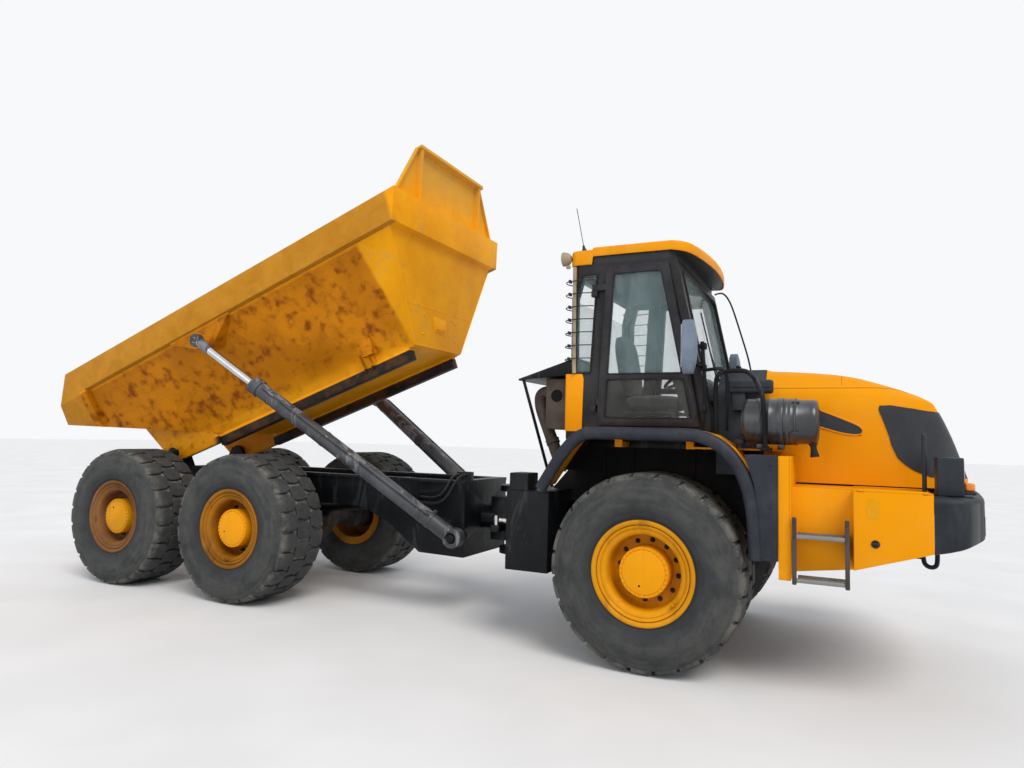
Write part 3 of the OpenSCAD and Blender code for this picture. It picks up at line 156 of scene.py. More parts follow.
class Wire:
    """A value in a material. Arithmetic on it adds Math nodes."""

    def __init__(self, finish, socket):
        self.finish = finish
        self.socket = socket

    def _math(self, operation, *values, clamp=False):
        settings = {"operation": operation, "use_clamp": clamp}
        return self.finish.node("ShaderNodeMath", settings, **{"_%d" % i: v for i, v in enumerate(values)})

    def __add__(self, other):
        return self._math("ADD", self, other)

    def __sub__(self, other):
        return self._math("SUBTRACT", self, other)

    def __rsub__(self, other):
        return self._math("SUBTRACT", other, self)

    def __mul__(self, other):
        return self._math("MULTIPLY", self, other)

    def __abs__(self):
        return self._math("ABSOLUTE", self)

    __radd__ = __add__
    __rmul__ = __mul__

    def ramp(self, low, high):
        """0 below low and 1 above high, with a smooth step between them."""
        settings = {"interpolation_type": "SMOOTHSTEP"}
        return self.finish.node("ShaderNodeMapRange", settings, Value=self, _1=low, _2=high)

    def most(self, other):
        return self._math("MAXIMUM", self, other)

    def least(self, other):
        return self._math("MINIMUM", self, other)

    def sine(self):
        return self._math("SINE", self)


class Finish:
    """A material with its Principled shader, and the patterns that feed it."""

    def __init__(self, name, **sockets):
        self.material = bpy.data.materials.new(name)
        self.material.use_nodes = True
        self.tree = self.material.node_tree
        self.tree.nodes.clear()
        out = self.tree.nodes.new("ShaderNodeOutputMaterial")
        self.shader = self.tree.nodes.new("ShaderNodeBsdfPrincipled")
        self.tree.links.new(self.shader.outputs[0], out.inputs[0])
        self.place = self.node("ShaderNodeTexCoord", {"output": "Object"})
        self.set(**sockets)

    def feed(self, plug, value):
        if isinstance(value, Wire):
            self.tree.links.new(value.socket, plug)
        else:
            plug.default_value = value

    def node(self, kind, settings=None, **sockets):
        """Adds a node. A socket is named by its label, or by its number after an underscore."""
        made = self.tree.nodes.new(kind)
        settings = dict(settings or {})
        output = settings.pop("output", 0)
        for key, value in settings.items():
            setattr(made, key, value)
        for key, value in sockets.items():
            self.feed(made.inputs[int(key[1:])] if key[0] == "_" else made.inputs[key.replace("_", " ")],
                value)
        return Wire(self, made.outputs[output])

    def set(self, **sockets):
        for key, value in sockets.items():
            self.feed(self.shader.inputs[key.replace("_", " ")], value)

    def split(self, vector):
        made = self.tree.nodes.new("ShaderNodeSeparateXYZ")
        self.feed(made.inputs[0], vector)
        return [Wire(self, socket) for socket in made.outputs]

    def xyz(self):
        return self.split(self.place)

    def stretched(self, x, y, z, where=None, turn=0):
        return self.node("ShaderNodeMapping", None, Vector=where or self.place, Scale=(x, y, z),
            Rotation=(0, turn, 0))

    def noise(self, scale, detail=4, roughness=0.55, where=None, distortion=0):
        return self.node("ShaderNodeTexNoise", None, Vector=where or self.place, Scale=scale, Detail=detail,
            Roughness=roughness, Distortion=distortion)

    def blend(self, mask, under, over):
        """The colour under where the mask is 0, and the colour over where it is 1."""
        tint = [(*c, 1) if isinstance(c, tuple) else c for c in (under, over)]
        return self.node("ShaderNodeMix", {"data_type": "RGBA", "output": 2}, _0=mask, _6=tint[0],
            _7=tint[1])

    def layered(self, base, *layers):
        """The base with each layer, given as a mask and a colour, laid over it in turn."""
        for mask, colour in layers:
            base = self.blend(mask, base, colour)
        return base

    def bump(self, height, depth):
        return self.node("ShaderNodeBump", None, Strength=1.0, Distance=depth, Height=height)


def dimmed(colour, share):
    return tuple(c * share for c in colour)


def worn_paint(name, colour, shade=0.75, rough=0.38, dust=0.3, chips=0.3, dust_colour=(0.42, 0.37, 0.3),
        chip_colour=(0.2, 0.1, 0.045), coat=0.25, grain=0.0006, streak=0.15, gloss=0.1, scuff=0.0,
        scuff_colour=(0.12, 0.125, 0.13)):
    """Machine paint: clouded colour, dust that gathers in patches, chips down to rust and faint runs."""
    f = Finish(name, Coat_Roughness=0.25, Specular_IOR_Level=gloss)
    clouds = f.noise(1.7, 5, 0.6)
    fine = f.noise(46, 4, 0.6)
    runs = f.noise(9, 4, 0.6, f.stretched(1, 1, 0.12))
    spots = f.noise(14, 7, 0.72, distortion=0.4)
    dirt = f.noise(5.5, 6, 0.65)
    dusty = (dirt * 0.7 + clouds * 0.5).ramp(0.48, 0.86) * dust
    chipped = (spots * 0.75 + fine * 0.25).ramp(0.66 - 0.05 * chips, 0.7 - 0.03 * chips) * min(1, chips * 2)
    layers = [(runs.ramp(0.52, 0.8) * streak, dimmed(chip_colour, 0.35)), (dusty, dust_colour)]
    if scuff:
        smears = f.noise(5, 5, 0.62, f.stretched(1.3, 1.3, 0.3), 0.9)
        layers.append((smears.ramp(0.55, 0.63) * scuff, scuff_colour))
    base = f.blend(clouds.ramp(0.32, 0.7), dimmed(colour, shade), colour)
    f.set(Base_Color=f.layered(base, *layers, (chipped, chip_colour)),
        Roughness=rough + dusty * 0.45 + chipped * 0.25 + fine * 0.06,
        Coat_Weight=(1 - dusty) * coat * (1 - chipped), Normal=f.bump(fine * 0.5 + spots * 0.5 - chipped
        * 0.6, grain))
    return f


def bed_paint():
    """The bed's paint: scraped to brown along the flanks, faded on the rail, bare steel inside, with painted
    shade on the flanks and the underside.
    """
    f = Finish("bed paint", Coat_Roughness=0.35, Specular_IOR_Level=0.08)
    x, y, z = f.xyz()
    x, z = x - (AXLE + BED_X), z - BED_Z
    u = x * math.cos(BED_TILT) + z * math.sin(BED_TILT)
    v = z * math.cos(BED_TILT) - x * math.sin(BED_TILT)
    along = f.node("ShaderNodeCombineXYZ", None, X=u, Y=y, Z=v)
    clouds = f.noise(1.3, 6, 0.62, along)
    patches = f.noise(4.2, 8, 0.68, along, 0.5)
    fine = f.noise(42, 5, 0.62, along)
    scrape = f.noise(5, 7, 0.7, f.stretched(0.55, 1, 2.6, along), 0.7)
    hair = f.noise(24, 5, 0.6, f.stretched(0.14, 1, 2.4, along, 0.35))
    runs = f.noise(7, 5, 0.6, f.stretched(1.6, 1, 0.16, along))
    rust = f.noise(8.6, 3, 0.45, along, 0.1)
    grime = f.noise(15, 4, 0.55, along)
    area = f.noise(0.9, 3, 0.5, along)
    # where the tail post, the sloping flank, the rail, the headboard, the underside and the inside are
    outer = abs(y).ramp(0.42, 0.6)
    post = outer * (1 - (u + (1 - v) * 0.36).ramp(TAIL_POST - 0.02, TAIL_POST))
    flank = outer * (1 - v.ramp(0.96, 1.0)) * (1 - u.ramp(-0.05, 0.0)) * (1 - post)
    rail = (v.ramp(0.985, 1.0) * abs(y).ramp(0.99, 1.0) * (1 - u.ramp(0.44, 0.5))).most(post)
    top = v.ramp(1.3, 1.7)
    under = (1 - v.ramp(-0.03, -0.02)) * u.ramp(-2.9, -2.8) * (1 - u.ramp(-0.06, 0.0))
    width = HALF_FLOOR + FLANK_SLOPE * v.least(1.0)
    floor = ((u * -1 - 2.76) * 0.391).most(0.0)
    inside = ((width - abs(y)).ramp(0.008, 0.012) * (v - floor).ramp(0.008, 0.013)
        * (v * WALL_SLOPE - u).ramp(0.008, 0.013))
    # the paint, what has worn or stained it, and painted shade on the flank and the underside
    orange = f.blend(clouds.ramp(0.3, 0.7), (0.78, 0.295, 0.002), (0.92, 0.39, 0.004))
    # the flank's darker orange is painted shade; its brown stains, scrapes and runs are wear
    flank_shaded_orange = f.blend(clouds.ramp(0.3, 0.72), (0.46, 0.15, 0.001), (0.66, 0.225, 0.002))
    faded = f.blend(patches.ramp(0.3, 0.7), (0.42, 0.172, 0.009), (0.52, 0.225, 0.018))
    # painted shade under the bed: near black, with brown patches
    underside_shade = f.blend(patches.ramp(0.4, 0.6), (0.016, 0.013, 0.012), (0.06, 0.03, 0.014))
    steel = f.layered((0.16, 0.1, 0.065), (patches.ramp(0.35, 0.62), (0.3, 0.25, 0.21)),
        (hair.ramp(0.5, 0.64), (0.34, 0.33, 0.32)))
    stain = (rust * 0.7 + grime * 0.3 + area * 0.25).ramp(0.58, 0.72) * flank * 0.45
    brown = (rust * 0.6 + grime * 0.32 + area * 0.22).ramp(0.59, 0.74) * (flank * 0.8 + 0.05)
    worn = hair.ramp(0.64, 0.72) * (flank * 0.5 + 0.12)
    rusty = (patches * 0.6 + fine * 0.4).ramp(0.62, 0.68) * (0.3 + 0.4 * flank)
    base = f.layered(orange, (flank, flank_shaded_orange), (rail, faded),
        (top * (0.5 + 0.5 * patches.ramp(0.3, 0.6)), (0.66, 0.33, 0.04)),
        ((1 - rail) * (1 - flank) * (1 - top) * patches.ramp(0.55, 0.72) * 0.5, (0.56, 0.33, 0.09)),
        (stain, (0.34, 0.1, 0.003)), (brown, (0.2, 0.042, 0.003)), (worn, (0.15, 0.05, 0.012)),
        (scrape.ramp(0.62, 0.7) * (flank * 0.35 + 0.1), (0.19, 0.06, 0.012)),
        (runs.ramp(0.6, 0.8) * flank * 0.3 * v.ramp(0.2, 0.95), (0.2, 0.07, 0.008)),
        (rusty, (0.11, 0.04, 0.012)), (under, underside_shade), (inside, steel))
    f.set(Base_Color=base, Roughness=0.42 + 0.2 * fine + brown * 0.2 + rusty * 0.2 + rail * 0.12,
        Metallic=inside * 0.45, Coat_Weight=(1 - inside) * (1 - brown) * (1 - rusty) * 0.05,
        Normal=f.bump(fine * 0.3 + patches * 0.3 + clouds * 2.5 - rusty * 0.4 - worn * 0.2, 0.0022))
    return f


def tyre_rubber():
    """Rubber with grey dust on the flanks, and paler dust on the shoulder and the lugs."""
    f = Finish("tyre rubber", Specular_IOR_Level=0.2)
    out, across, turn = f.split(f.node("ShaderNodeAttribute", {"attribute_name": "wheel", "output": 1}))
    ring = f.node("ShaderNodeCombineXYZ", None, X=out * 9, Y=across * 2, Z=turn * 1.4)
    cloud = f.noise(4.5, 7, 0.65)
    fine = f.noise(70, 4, 0.6)
    blotch = f.noise(11, 6, 0.7)
    sweep = f.noise(1.6, 6, 0.62, ring, 0.3)
    dark = (0.03, 0.032, 0.033)
    flank = across.ramp(0.24, 0.29) * out.ramp(0.46, 0.56)
    shoulder = across.ramp(0.19, 0.235) * (1 - across.ramp(0.27, 0.29)) * out.ramp(0.676, 0.69)
    crown = f.blend(blotch.ramp(0.3, 0.7), (0.06, 0.06, 0.058), (0.1, 0.1, 0.095))
    base = f.layered(
        dark, ((cloud * 0.6 + sweep * 0.4).ramp(0.34, 0.66), (0.056, 0.059, 0.058)),
        (flank * (blotch * 0.5 + sweep * 0.5).ramp(0.4, 0.62) * 0.4, (0.098, 0.095, 0.08)),
        ((1 - out.ramp(0.4, 0.5)) * 0.6, (0.022, 0.024, 0.029)),
        (out.ramp(0.685, 0.725) * blotch.ramp(0.42, 0.7) * 0.5, (0.15, 0.145, 0.13)),
        (shoulder * (blotch * 0.6 + cloud * 0.4).ramp(0.42, 0.6) * 0.7, (0.17, 0.155, 0.13)),
        (out.ramp(0.705, 0.735) * 0.55, crown),
        (out.ramp(0.62, 0.68) * (1 - across.ramp(0.2, 0.27)) * 0.5, dark))
    f.set(Base_Color=base, Roughness=0.66 + 0.2 * cloud, Normal=f.bump(fine * 0.4 + blotch * 0.6, 0.0012))
    return f


def groove_dust():
    f = Finish("dust in the tread", Roughness=0.95)
    cloud = f.noise(9, 6, 0.65)
    fine = f.noise(90, 3, 0.6)
    f.set(Base_Color=f.blend(cloud.ramp(0.32, 0.66), (0.05, 0.049, 0.047), (0.2, 0.185, 0.155)),
        Normal=f.bump(fine, 0.0015))
    return f


def plastic(name, colour, rough=0.5, grain=0.0004, dust=0.25, dust_colour=(0.2, 0.2, 0.2), gloss=0.25):
    """Moulded plastic or rubber with a fine grain and a little grey dust."""
    f = Finish(name, Specular_IOR_Level=gloss)
    fine = f.noise(220, 3, 0.6)
    cloud = f.noise(3.2, 6, 0.65)
    wipe = f.noise(17, 5, 0.62, f.stretched(1, 1, 0.35))
    haze = (cloud * 0.55 + wipe * 0.45).ramp(0.42, 0.72) * dust
    f.set(Base_Color=f.layered(dimmed(colour, 0.75), (cloud.ramp(0.3, 0.75), colour), (haze, dust_colour)),
        Roughness=rough + haze * 0.3 + fine * 0.08, Normal=f.bump(fine + wipe * 0.5, grain))
    return f


def bare_metal(name, colour, rough=0.3, stain=0.3, stain_colour=(0.15, 0.08, 0.04), metallic=1.0,
        brushed=(1, 1, 1)):
    f = Finish(name)
    lines = f.noise(90, 4, 0.6, f.stretched(*brushed))
    cloud = f.noise(6, 6, 0.66)
    spots = f.noise(28, 6, 0.7)
    mark = (cloud * 0.6 + spots * 0.4).ramp(0.5, 0.68) * stain
    f.set(Base_Color=f.layered(dimmed(colour, 0.8), (cloud.ramp(0.3, 0.7), colour), (mark, stain_colour)),
        Metallic=(1 - mark) * metallic, Roughness=rough + lines * 0.14 + mark * 0.5,
        Normal=f.bump(lines * 0.4 + spots * 0.3, 0.0003))
    return f


def window_glass():
    """Tinted glass with a film of dust, with painted shade below the door's middle bar."""
    f = Finish("window glass", IOR=1.45, Specular_IOR_Level=0.5)
    cloud = f.noise(3.5, 6, 0.6)
    wipe = f.noise(30, 4, 0.6, f.stretched(1, 1, 0.2))
    film = (cloud * 0.6 + wipe * 0.4).ramp(0.35, 0.75)
    # darker colours for the lower panes, below the door's middle bar: painted shade
    shade = f.blend(film, (0.06, 0.068, 0.058), (0.16, 0.17, 0.15))
    tint = f.blend(film, (0.22, 0.34, 0.35), (0.4, 0.55, 0.56))
    f.set(Base_Color=f.blend(f.xyz()[2].ramp(2.17, 2.25), shade, tint), Alpha=0.16 + film * 0.07,
        Roughness=0.03 + film * 0.05)
    return f


def lens_glass(name, colour):
    f = Finish(name, IOR=1.45, Coat_Weight=0.6, Coat_Roughness=0.05)
    _, y, z = f.xyz()
    ribs = (y * 520).sine() * 0.5 + (z * 520).sine() * 0.5
    cloud = f.noise(30, 3, 0.5)
    f.set(Base_Color=f.blend(cloud.ramp(0.3, 0.7), dimmed(colour, 0.75), colour),
        Roughness=0.12 + cloud * 0.1, Normal=f.bump(ribs, 0.0006))
    return f


def mesh_panel():
    """Dark punched sheet: rows of small holes, and a faint bloom of dust."""
    f = Finish("punched mesh", Coat_Roughness=0.2)
    x, y, z = f.xyz()
    holes = (((x + y * 0.8) * 520).sine() * (z * 520).sine()).ramp(0.1, 0.55)
    cloud = f.noise(4, 6, 0.6)
    wipe = f.noise(22, 5, 0.6, f.stretched(1, 1, 0.3))
    base = f.layered((0.008, 0.01, 0.016), (cloud.ramp(0.3, 0.7), (0.018, 0.022, 0.032)),
        ((cloud * 0.5 + wipe * 0.5).ramp(0.45, 0.75) * 0.22, (0.075, 0.08, 0.095)),
        (holes, (0.004, 0.004, 0.005)))
    f.set(Base_Color=base, Roughness=0.38 + holes * 0.4 + wipe * 0.1, Coat_Weight=(1 - holes) * 0.2,
        Normal=f.bump(1 - holes, 0.0012))
    return f


def bumper_plastic():
    """Grey moulded plastic, with a dark reflection painted along the corner, which is also made shinier."""
    f = Finish("bumper skin", Specular_IOR_Level=0.3)
    _, y, z = f.xyz()
    cloud = f.noise(3.2, 6, 0.65)
    grain = f.noise(190, 3, 0.6)
    smear = f.noise(14, 6, 0.66, f.stretched(1, 1, 0.22), 0.6)
    side = abs(y) + smear * 0.03
    # a painted dark reflection on the corner face, where the plastic is also less rough
    dark_reflection_band = side.ramp(1.085, 1.11) * (1 - side.ramp(1.2, 1.225)) * (1 - z.ramp(1.35, 1.37))
    base = f.layered((0.006, 0.008, 0.011), (cloud.ramp(0.3, 0.72), (0.015, 0.02, 0.026)),
        ((smear * 0.6 + cloud * 0.4).ramp(0.48, 0.74) * 0.3, (0.06, 0.068, 0.083)),
        (dark_reflection_band * (0.75 + 0.25 * cloud), (0.005, 0.006, 0.008)))
    f.set(Base_Color=base, Roughness=0.5 - dark_reflection_band * 0.22 + grain * 0.08,
        Normal=f.bump(grain + smear * 0.4, 0.001))
    return f


def seat_cloth():
    f = Finish("seat cloth", Roughness=0.9, Sheen_Weight=0.25, Sheen_Roughness=0.5)
    x, y, z = f.xyz()
    warp = (x * 2400).sine() * (y * 2400).sine() + (z * 2400).sine() * (y * 2400).sine()
    cloud = f.noise(12, 5, 0.6)
    thread = f.noise(400, 3, 0.6)
    f.set(Base_Color=f.blend(cloud.ramp(0.3, 0.7), (0.035, 0.037, 0.04), (0.08, 0.082, 0.09)),
        Normal=f.bump(warp * 0.5 + thread, 0.0007))
    return f


BED = bed_paint()
BODY = worn_paint("body paint", (0.84, 0.31, 0.0005), shade=0.94, rough=0.42, dust=0.04, chips=0.08,
    coat=0.03, grain=0.0003, streak=0.05, gloss=0.06)
ROOF = worn_paint("roof paint", (0.84, 0.31, 0.001), shade=0.9, rough=0.42, dust=0.06, chips=0.25,
    coat=0.04, gloss=0.06)
RIM = worn_paint("wheel paint", (0.76, 0.31, 0.002), shade=0.72, rough=0.4, dust=0.15, chips=0.42,
    coat=0.06, dust_colour=(0.3, 0.16, 0.04), chip_colour=(0.1, 0.045, 0.012), streak=0.4)
HUB_PAINT = worn_paint("hub paint", (0.86, 0.34, 0.001), shade=0.88, rough=0.42, dust=0.08, chips=0.3,
    coat=0.04, dust_colour=(0.5, 0.27, 0.07), chip_colour=(0.16, 0.07, 0.015), streak=0.25)
MID_RIM = worn_paint("dusty wheel paint", (0.4, 0.15, 0.004), shade=0.5, rough=0.5, dust=0.35, chips=0.75,
    coat=0.04, dust_colour=(0.16, 0.08, 0.03), chip_colour=(0.09, 0.04, 0.015), streak=0.55)
RUSTY_RIM = worn_paint("rusted wheel paint", (0.27, 0.11, 0.03), shade=0.5, rough=0.7, dust=0.6, chips=0.95,
    dust_colour=(0.17, 0.11, 0.066), chip_colour=(0.08, 0.042, 0.025), coat=0.0, streak=0.5)
CHASSIS = worn_paint("chassis paint", (0.004, 0.005, 0.007), shade=0.6, rough=0.42, dust=0.09, chips=0.33,
    gloss=0.15, dust_colour=(0.06, 0.06, 0.056), chip_colour=(0.1, 0.11, 0.1), coat=0.05, scuff=0.3,
    scuff_colour=(0.06, 0.065, 0.066))
STEP_POST = worn_paint("step post paint", (0.075, 0.062, 0.055), shade=0.6, rough=0.55, dust=0.3, chips=0.6,
    coat=0.0, dust_colour=(0.16, 0.13, 0.11), chip_colour=(0.12, 0.055, 0.025))
CAB = worn_paint("cab frame paint", (0.014, 0.0135, 0.015), shade=0.7, rough=0.4, dust=0.2, chips=0.35,
    dust_colour=(0.1, 0.085, 0.08), chip_colour=(0.1, 0.05, 0.035), coat=0.2)
BARREL = worn_paint("cylinder paint", (0.042, 0.045, 0.052), shade=0.5, rough=0.4, dust=0.5, chips=0.9,
    gloss=0.4, dust_colour=(0.12, 0.12, 0.13), chip_colour=(0.02, 0.02, 0.022), coat=0.1, streak=0.3,
    scuff=0.75, scuff_colour=(0.2, 0.205, 0.22))
GREY = plastic("lamp box plastic", (0.024, 0.031, 0.039), rough=0.42, grain=0.0006, dust=0.25,
    dust_colour=(0.08, 0.09, 0.1))
TRIM = plastic("trim rubber", (0.021, 0.025, 0.034), rough=0.45, grain=0.0008, dust=0.35,
    dust_colour=(0.08, 0.085, 0.095))
BLACK = plastic("black plastic", (0.022, 0.024, 0.028), rough=0.4, dust=0.2, dust_colour=(0.1, 0.1, 0.105))
AIR = plastic("air cleaner plastic", (0.02, 0.022, 0.026), rough=0.24, dust=0.45,
    dust_colour=(0.1, 0.11, 0.125), gloss=0.7)
HOSE = plastic("hose rubber", (0.014, 0.014, 0.015), rough=0.45, dust=0.3, dust_colour=(0.1, 0.095, 0.085))
AXLE_IRON = worn_paint("axle iron", (0.03, 0.028, 0.026), shade=0.6, rough=0.6, dust=0.6, chips=0.5,
    dust_colour=(0.13, 0.11, 0.085), chip_colour=(0.08, 0.04, 0.022), coat=0.0, grain=0.0015)
ENGINE = worn_paint("engine paint", (0.08, 0.08, 0.082), shade=0.7, rough=0.55, dust=0.5, chips=0.3,
    coat=0.0, dust_colour=(0.16, 0.145, 0.12), grain=0.0015)
SHIELD = worn_paint("heat shield", (0.105, 0.08, 0.066), shade=0.6, rough=0.62, dust=0.5, chips=0.6,
    dust_colour=(0.2, 0.16, 0.135), chip_colour=(0.06, 0.032, 0.024), coat=0.0, streak=0.4)
CHROME = bare_metal("rod chrome", (0.62, 0.63, 0.64), rough=0.13, stain=0.15)
TREAD = bare_metal("step steel", (0.3, 0.3, 0.29), rough=0.5, stain=0.55, stain_colour=(0.12, 0.085, 0.06))
GLASS = window_glass()
AMBER = lens_glass("amber lens", (0.85, 0.25, 0.01))
CLEAR = lens_glass("clear lens", (0.7, 0.72, 0.74))
SWOOSH = mesh_panel()
DOOR = worn_paint("door paint", (0.017, 0.0165, 0.02), shade=0.6, rough=0.42, dust=0.3, chips=0.6,
    dust_colour=(0.1, 0.09, 0.095), chip_colour=(0.1, 0.05, 0.04), coat=0.15, streak=0.4)
BEIGE = worn_paint("old beige paint", (0.42, 0.33, 0.22), shade=0.7, rough=0.55, dust=0.4, chips=0.6,
    coat=0.0, chip_colour=(0.16, 0.08, 0.04))
MIRROR_SHELL = plastic("mirror shell", (0.17, 0.225, 0.29), rough=0.55, grain=0.0008, dust=0.5,
    dust_colour=(0.28, 0.27, 0.3))
SEAL = plastic("window rubber", (0.012, 0.012, 0.013), rough=0.6, dust=0.3,
    dust_colour=(0.07, 0.068, 0.065))
# near black, for painted shade: behind the front wheel, in the bumper's slots and in the heat shield's mouth
SHADE_BLACK = plastic("painted shade black", (0.007, 0.0075, 0.008), rough=0.85, dust=0.35,
    dust_colour=(0.025, 0.023, 0.02))
COWL = plastic("cowl plastic", (0.03, 0.036, 0.045), rough=0.5, grain=0.0008, dust=0.35,
    dust_colour=(0.09, 0.1, 0.11))
FADED = worn_paint("faded patch", (0.8, 0.345, 0.003), shade=0.85, rough=0.6, dust=0.25, chips=1.0,
    coat=0.0, chip_colour=(0.28, 0.14, 0.05))
BUMPER = bumper_plastic()
SEAM = plastic("panel gap", (0.12, 0.045, 0.006), rough=0.8, dust=0.3, dust_colour=(0.05, 0.03, 0.015))
CLOTH = seat_cloth()
RUBBER = tyre_rubber()
DUST = groove_dust()

COATED = ((BED, "bed"), (ROOF, "cab_roof"), (COWL, "cowl"), (CAB, "cab_frame door_right door_left"),
    (BODY, "side_boxes box_lid_right box_lid_left fenders bonnet"), (ENGINE, "engine_block"),
    (CHASSIS,
    "front_chassis outriggers chassis_posts swivel_block rear_frame rear_deck side_tanks handrails"),
    (BARREL, "hoist_barrel_right hoist_barrel_left steer_barrel_right steer_barrel_left"),
    (CHROME, "hoist_rod_right hoist_rod_left steer_rod_right steer_rod_left"),
    (GREY, "bumper lamps mirrors"), (AXLE_IRON, "front_axle mid_axle rear_axle"), (TRIM, "fender_trims"),
    (HOSE, "hoist_hoses"), (SHIELD, "exhaust"), (AIR, "air_cleaner"),
    (BLACK, "dashboard steering_wheel grille"), (GLASS, "cab_glass door_glass_right door_glass_left"),
    (CLOTH, "seat"), (TREAD, "steps"), (RUBBER, " ".join("tyre_%s_%s" % (wheel, side) for wheel in WHEELS
    for side, _ in SIDES)), (RIM, "rim_front_right rim_front_left rim_mid_right rim_mid_left"),
    (RUSTY_RIM, "rim_rear_right rim_rear_left"))
NODE_FINISH = {node: coat for coat, nodes in COATED for node in nodes.split()}
BODY_OF = {n: b for b, ns in frame["record"]["behaviour"]["bodies"].items() for n in ns}
for node, obj in frame["nodes"].items():
    obj.data.materials.clear()
    obj.data.materials.append(NODE_FINISH[node].material)
for hose in hoses:
    hose.data.materials.append(HOSE.material)


# Modelling helpers


def begin(name, add, **settings):
    """Adds a primitive with nothing else selected and names it."""
    bpy.ops.object.select_all(action="DESELECT")
    add(**settings)
    piece = bpy.context.object
    piece.name = piece.data.name = name
    return piece


def select_only(piece):
    bpy.ops.object.select_all(action="DESELECT")
    piece.select_set(True)
    bpy.context.view_layer.objects.active = piece


class Editing:
    """Edit mode on one piece, with what is to be worked on chosen by a test."""

    def __init__(self, piece, what="FACE"):
        self.piece = piece
        self.what = what

    def __enter__(self):
        select_only(self.piece)
        bpy.ops.object.mode_set(mode="EDIT")
        bpy.ops.mesh.select_mode(type=self.what)
        return self

    def __exit__(self, *_):
        bpy.ops.object.mode_set(mode="OBJECT")

    def choose(self, test=None):
        mesh = bmesh.from_edit_mesh(self.piece.data)
        for part in (mesh.verts, mesh.edges, mesh.faces):
            for item in part:
                item.select_set(False)
        if self.what == "FACE":
            for face in mesh.faces:
                face.select_set(test is None or test(face.calc_center_median(), face.normal))
        elif self.what == "EDGE":
            for edge in mesh.edges:
                edge.select_set(test is None or test(*(v.co for v in edge.verts)))
        else:
            for vert in mesh.verts:
                vert.select_set(test is None or test(vert.co))
        mesh.select_flush_mode()
        bmesh.update_edit_mesh(self.piece.data)

    def on_all(self, operator, **settings):
        """Chooses everything and runs a mesh operator on it."""
        self.choose()
        operator(**settings)

    def move(self, rule):
        """Sets every vertex to where the rule puts it."""
        mesh = bmesh.from_edit_mesh(self.piece.data)
        mesh.verts.ensure_lookup_table()
        for vert in mesh.verts:
            vert.co = rule(vert.index, vert.co.copy())
        mesh.normal_update()
        bmesh.update_edit_mesh(self.piece.data)


def modify(piece, kind, **settings):
    select_only(piece)
    made = piece.modifiers.new(kind.title(), kind)
    for key, value in settings.items():
        setattr(made, key, value)
    bpy.ops.object.modifier_apply(modifier=made.name)


def round_edges(piece, width, segments=2, angle=25):
    modify(piece, "BEVEL", width=width, segments=segments, limit_method="ANGLE",
        angle_limit=math.radians(angle), miter_outer="MITER_ARC")


def tidy_normals(piece, merge=0.0):
    with Editing(piece) as work:
        if merge:
            work.on_all(bpy.ops.mesh.remove_doubles, threshold=merge)
        work.on_all(bpy.ops.mesh.normals_make_consistent, inside=False)


def smooth(piece, angle=35):
    select_only(piece)
    bpy.ops.object.shade_smooth_by_angle(angle=math.radians(angle))


def finish(piece, coat, like, smooth_angle=35, stands_for=(), body=None):
    """Gives the piece its finish, and lets it ride on a body: the one given, or that of the node that it is
    like.
    """
    piece.data.materials.clear()
    piece.data.materials.append(coat.material)
    if smooth_angle:
        smooth(piece, smooth_angle)
    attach(piece, body or BODY_OF[like])
    if stands_for:
        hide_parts(*stands_for)
    return piece


def apply_place(piece):
    select_only(piece)
    bpy.ops.object.transform_apply(location=True, rotation=True, scale=True)


def block(name, low, high, edge=0.006, segments=2):
    """A box between two corners, given from the front axle, with rounded edges."""
    low, high = at(*low), at(*high)
    piece = begin(name, bpy.ops.mesh.primitive_cube_add, size=1, location=(low + high) / 2)
    piece.scale = high - low
    apply_place(piece)
    if edge:
        round_edges(piece, edge, segments)
    return piece


def outline(name, points):
    """A flat face through points of the truck's frame."""
    piece = begin(name, bpy.ops.mesh.primitive_circle_add, vertices=len(points), radius=1, fill_type="NGON")
    with Editing(piece, "VERT") as work:
        work.move(lambda i, co: Vector(points[i]))
    return piece


def plate(name, points, shift, edge=0.003):
    """A plate with the outline of the points, thickened by the shift."""
    piece = outline(name, points)
    with Editing(piece) as work:
        work.on_all(bpy.ops.mesh.extrude_region_move, TRANSFORM_OT_translate={"value": shift})
    tidy_normals(piece)
    if edge:
        round_edges(piece, edge, 2)
    return piece


def both_ways(line, z):
    """A closed outline at one height, from the half of it on the left."""
    return [at(x, -y, z) for x, y in line] + [at(x, y, z) for x, y in reversed(line)]


def side_plate(name, points, y_from, y_to, edge=0.003):
    """A plate drawn in X and Z, between two stations along Y."""
    return plate(name, [at(x, y_from, z) for x, z in points], (0, y_to - y_from, 0), edge)


def turned(name, profile, centre, axis, steps=48, start=None):
    """Spins a closed profile, given as pairs of radius and height, about an axis through the centre."""
    axis = Vector(axis).normalized()
    out = Vector(start) if start else axis.orthogonal().normalized()
    points = [centre + out * r + axis * h for r, h in profile]
    piece = begin(name, bpy.ops.mesh.primitive_circle_add, vertices=len(points), radius=1,
        fill_type="NOTHING")
    with Editing(piece, "VERT") as work:
        work.move(lambda i, co: points[i])
        work.on_all(bpy.ops.mesh.spin, steps=steps, angle=TAU, center=centre, axis=axis)
        work.on_all(bpy.ops.mesh.remove_doubles, threshold=1e-5)
        work.on_all(bpy.ops.mesh.delete_loose, use_verts=True, use_edges=True, use_faces=False)
        work.on_all(bpy.ops.mesh.normals_make_consistent, inside=False)
    return piece


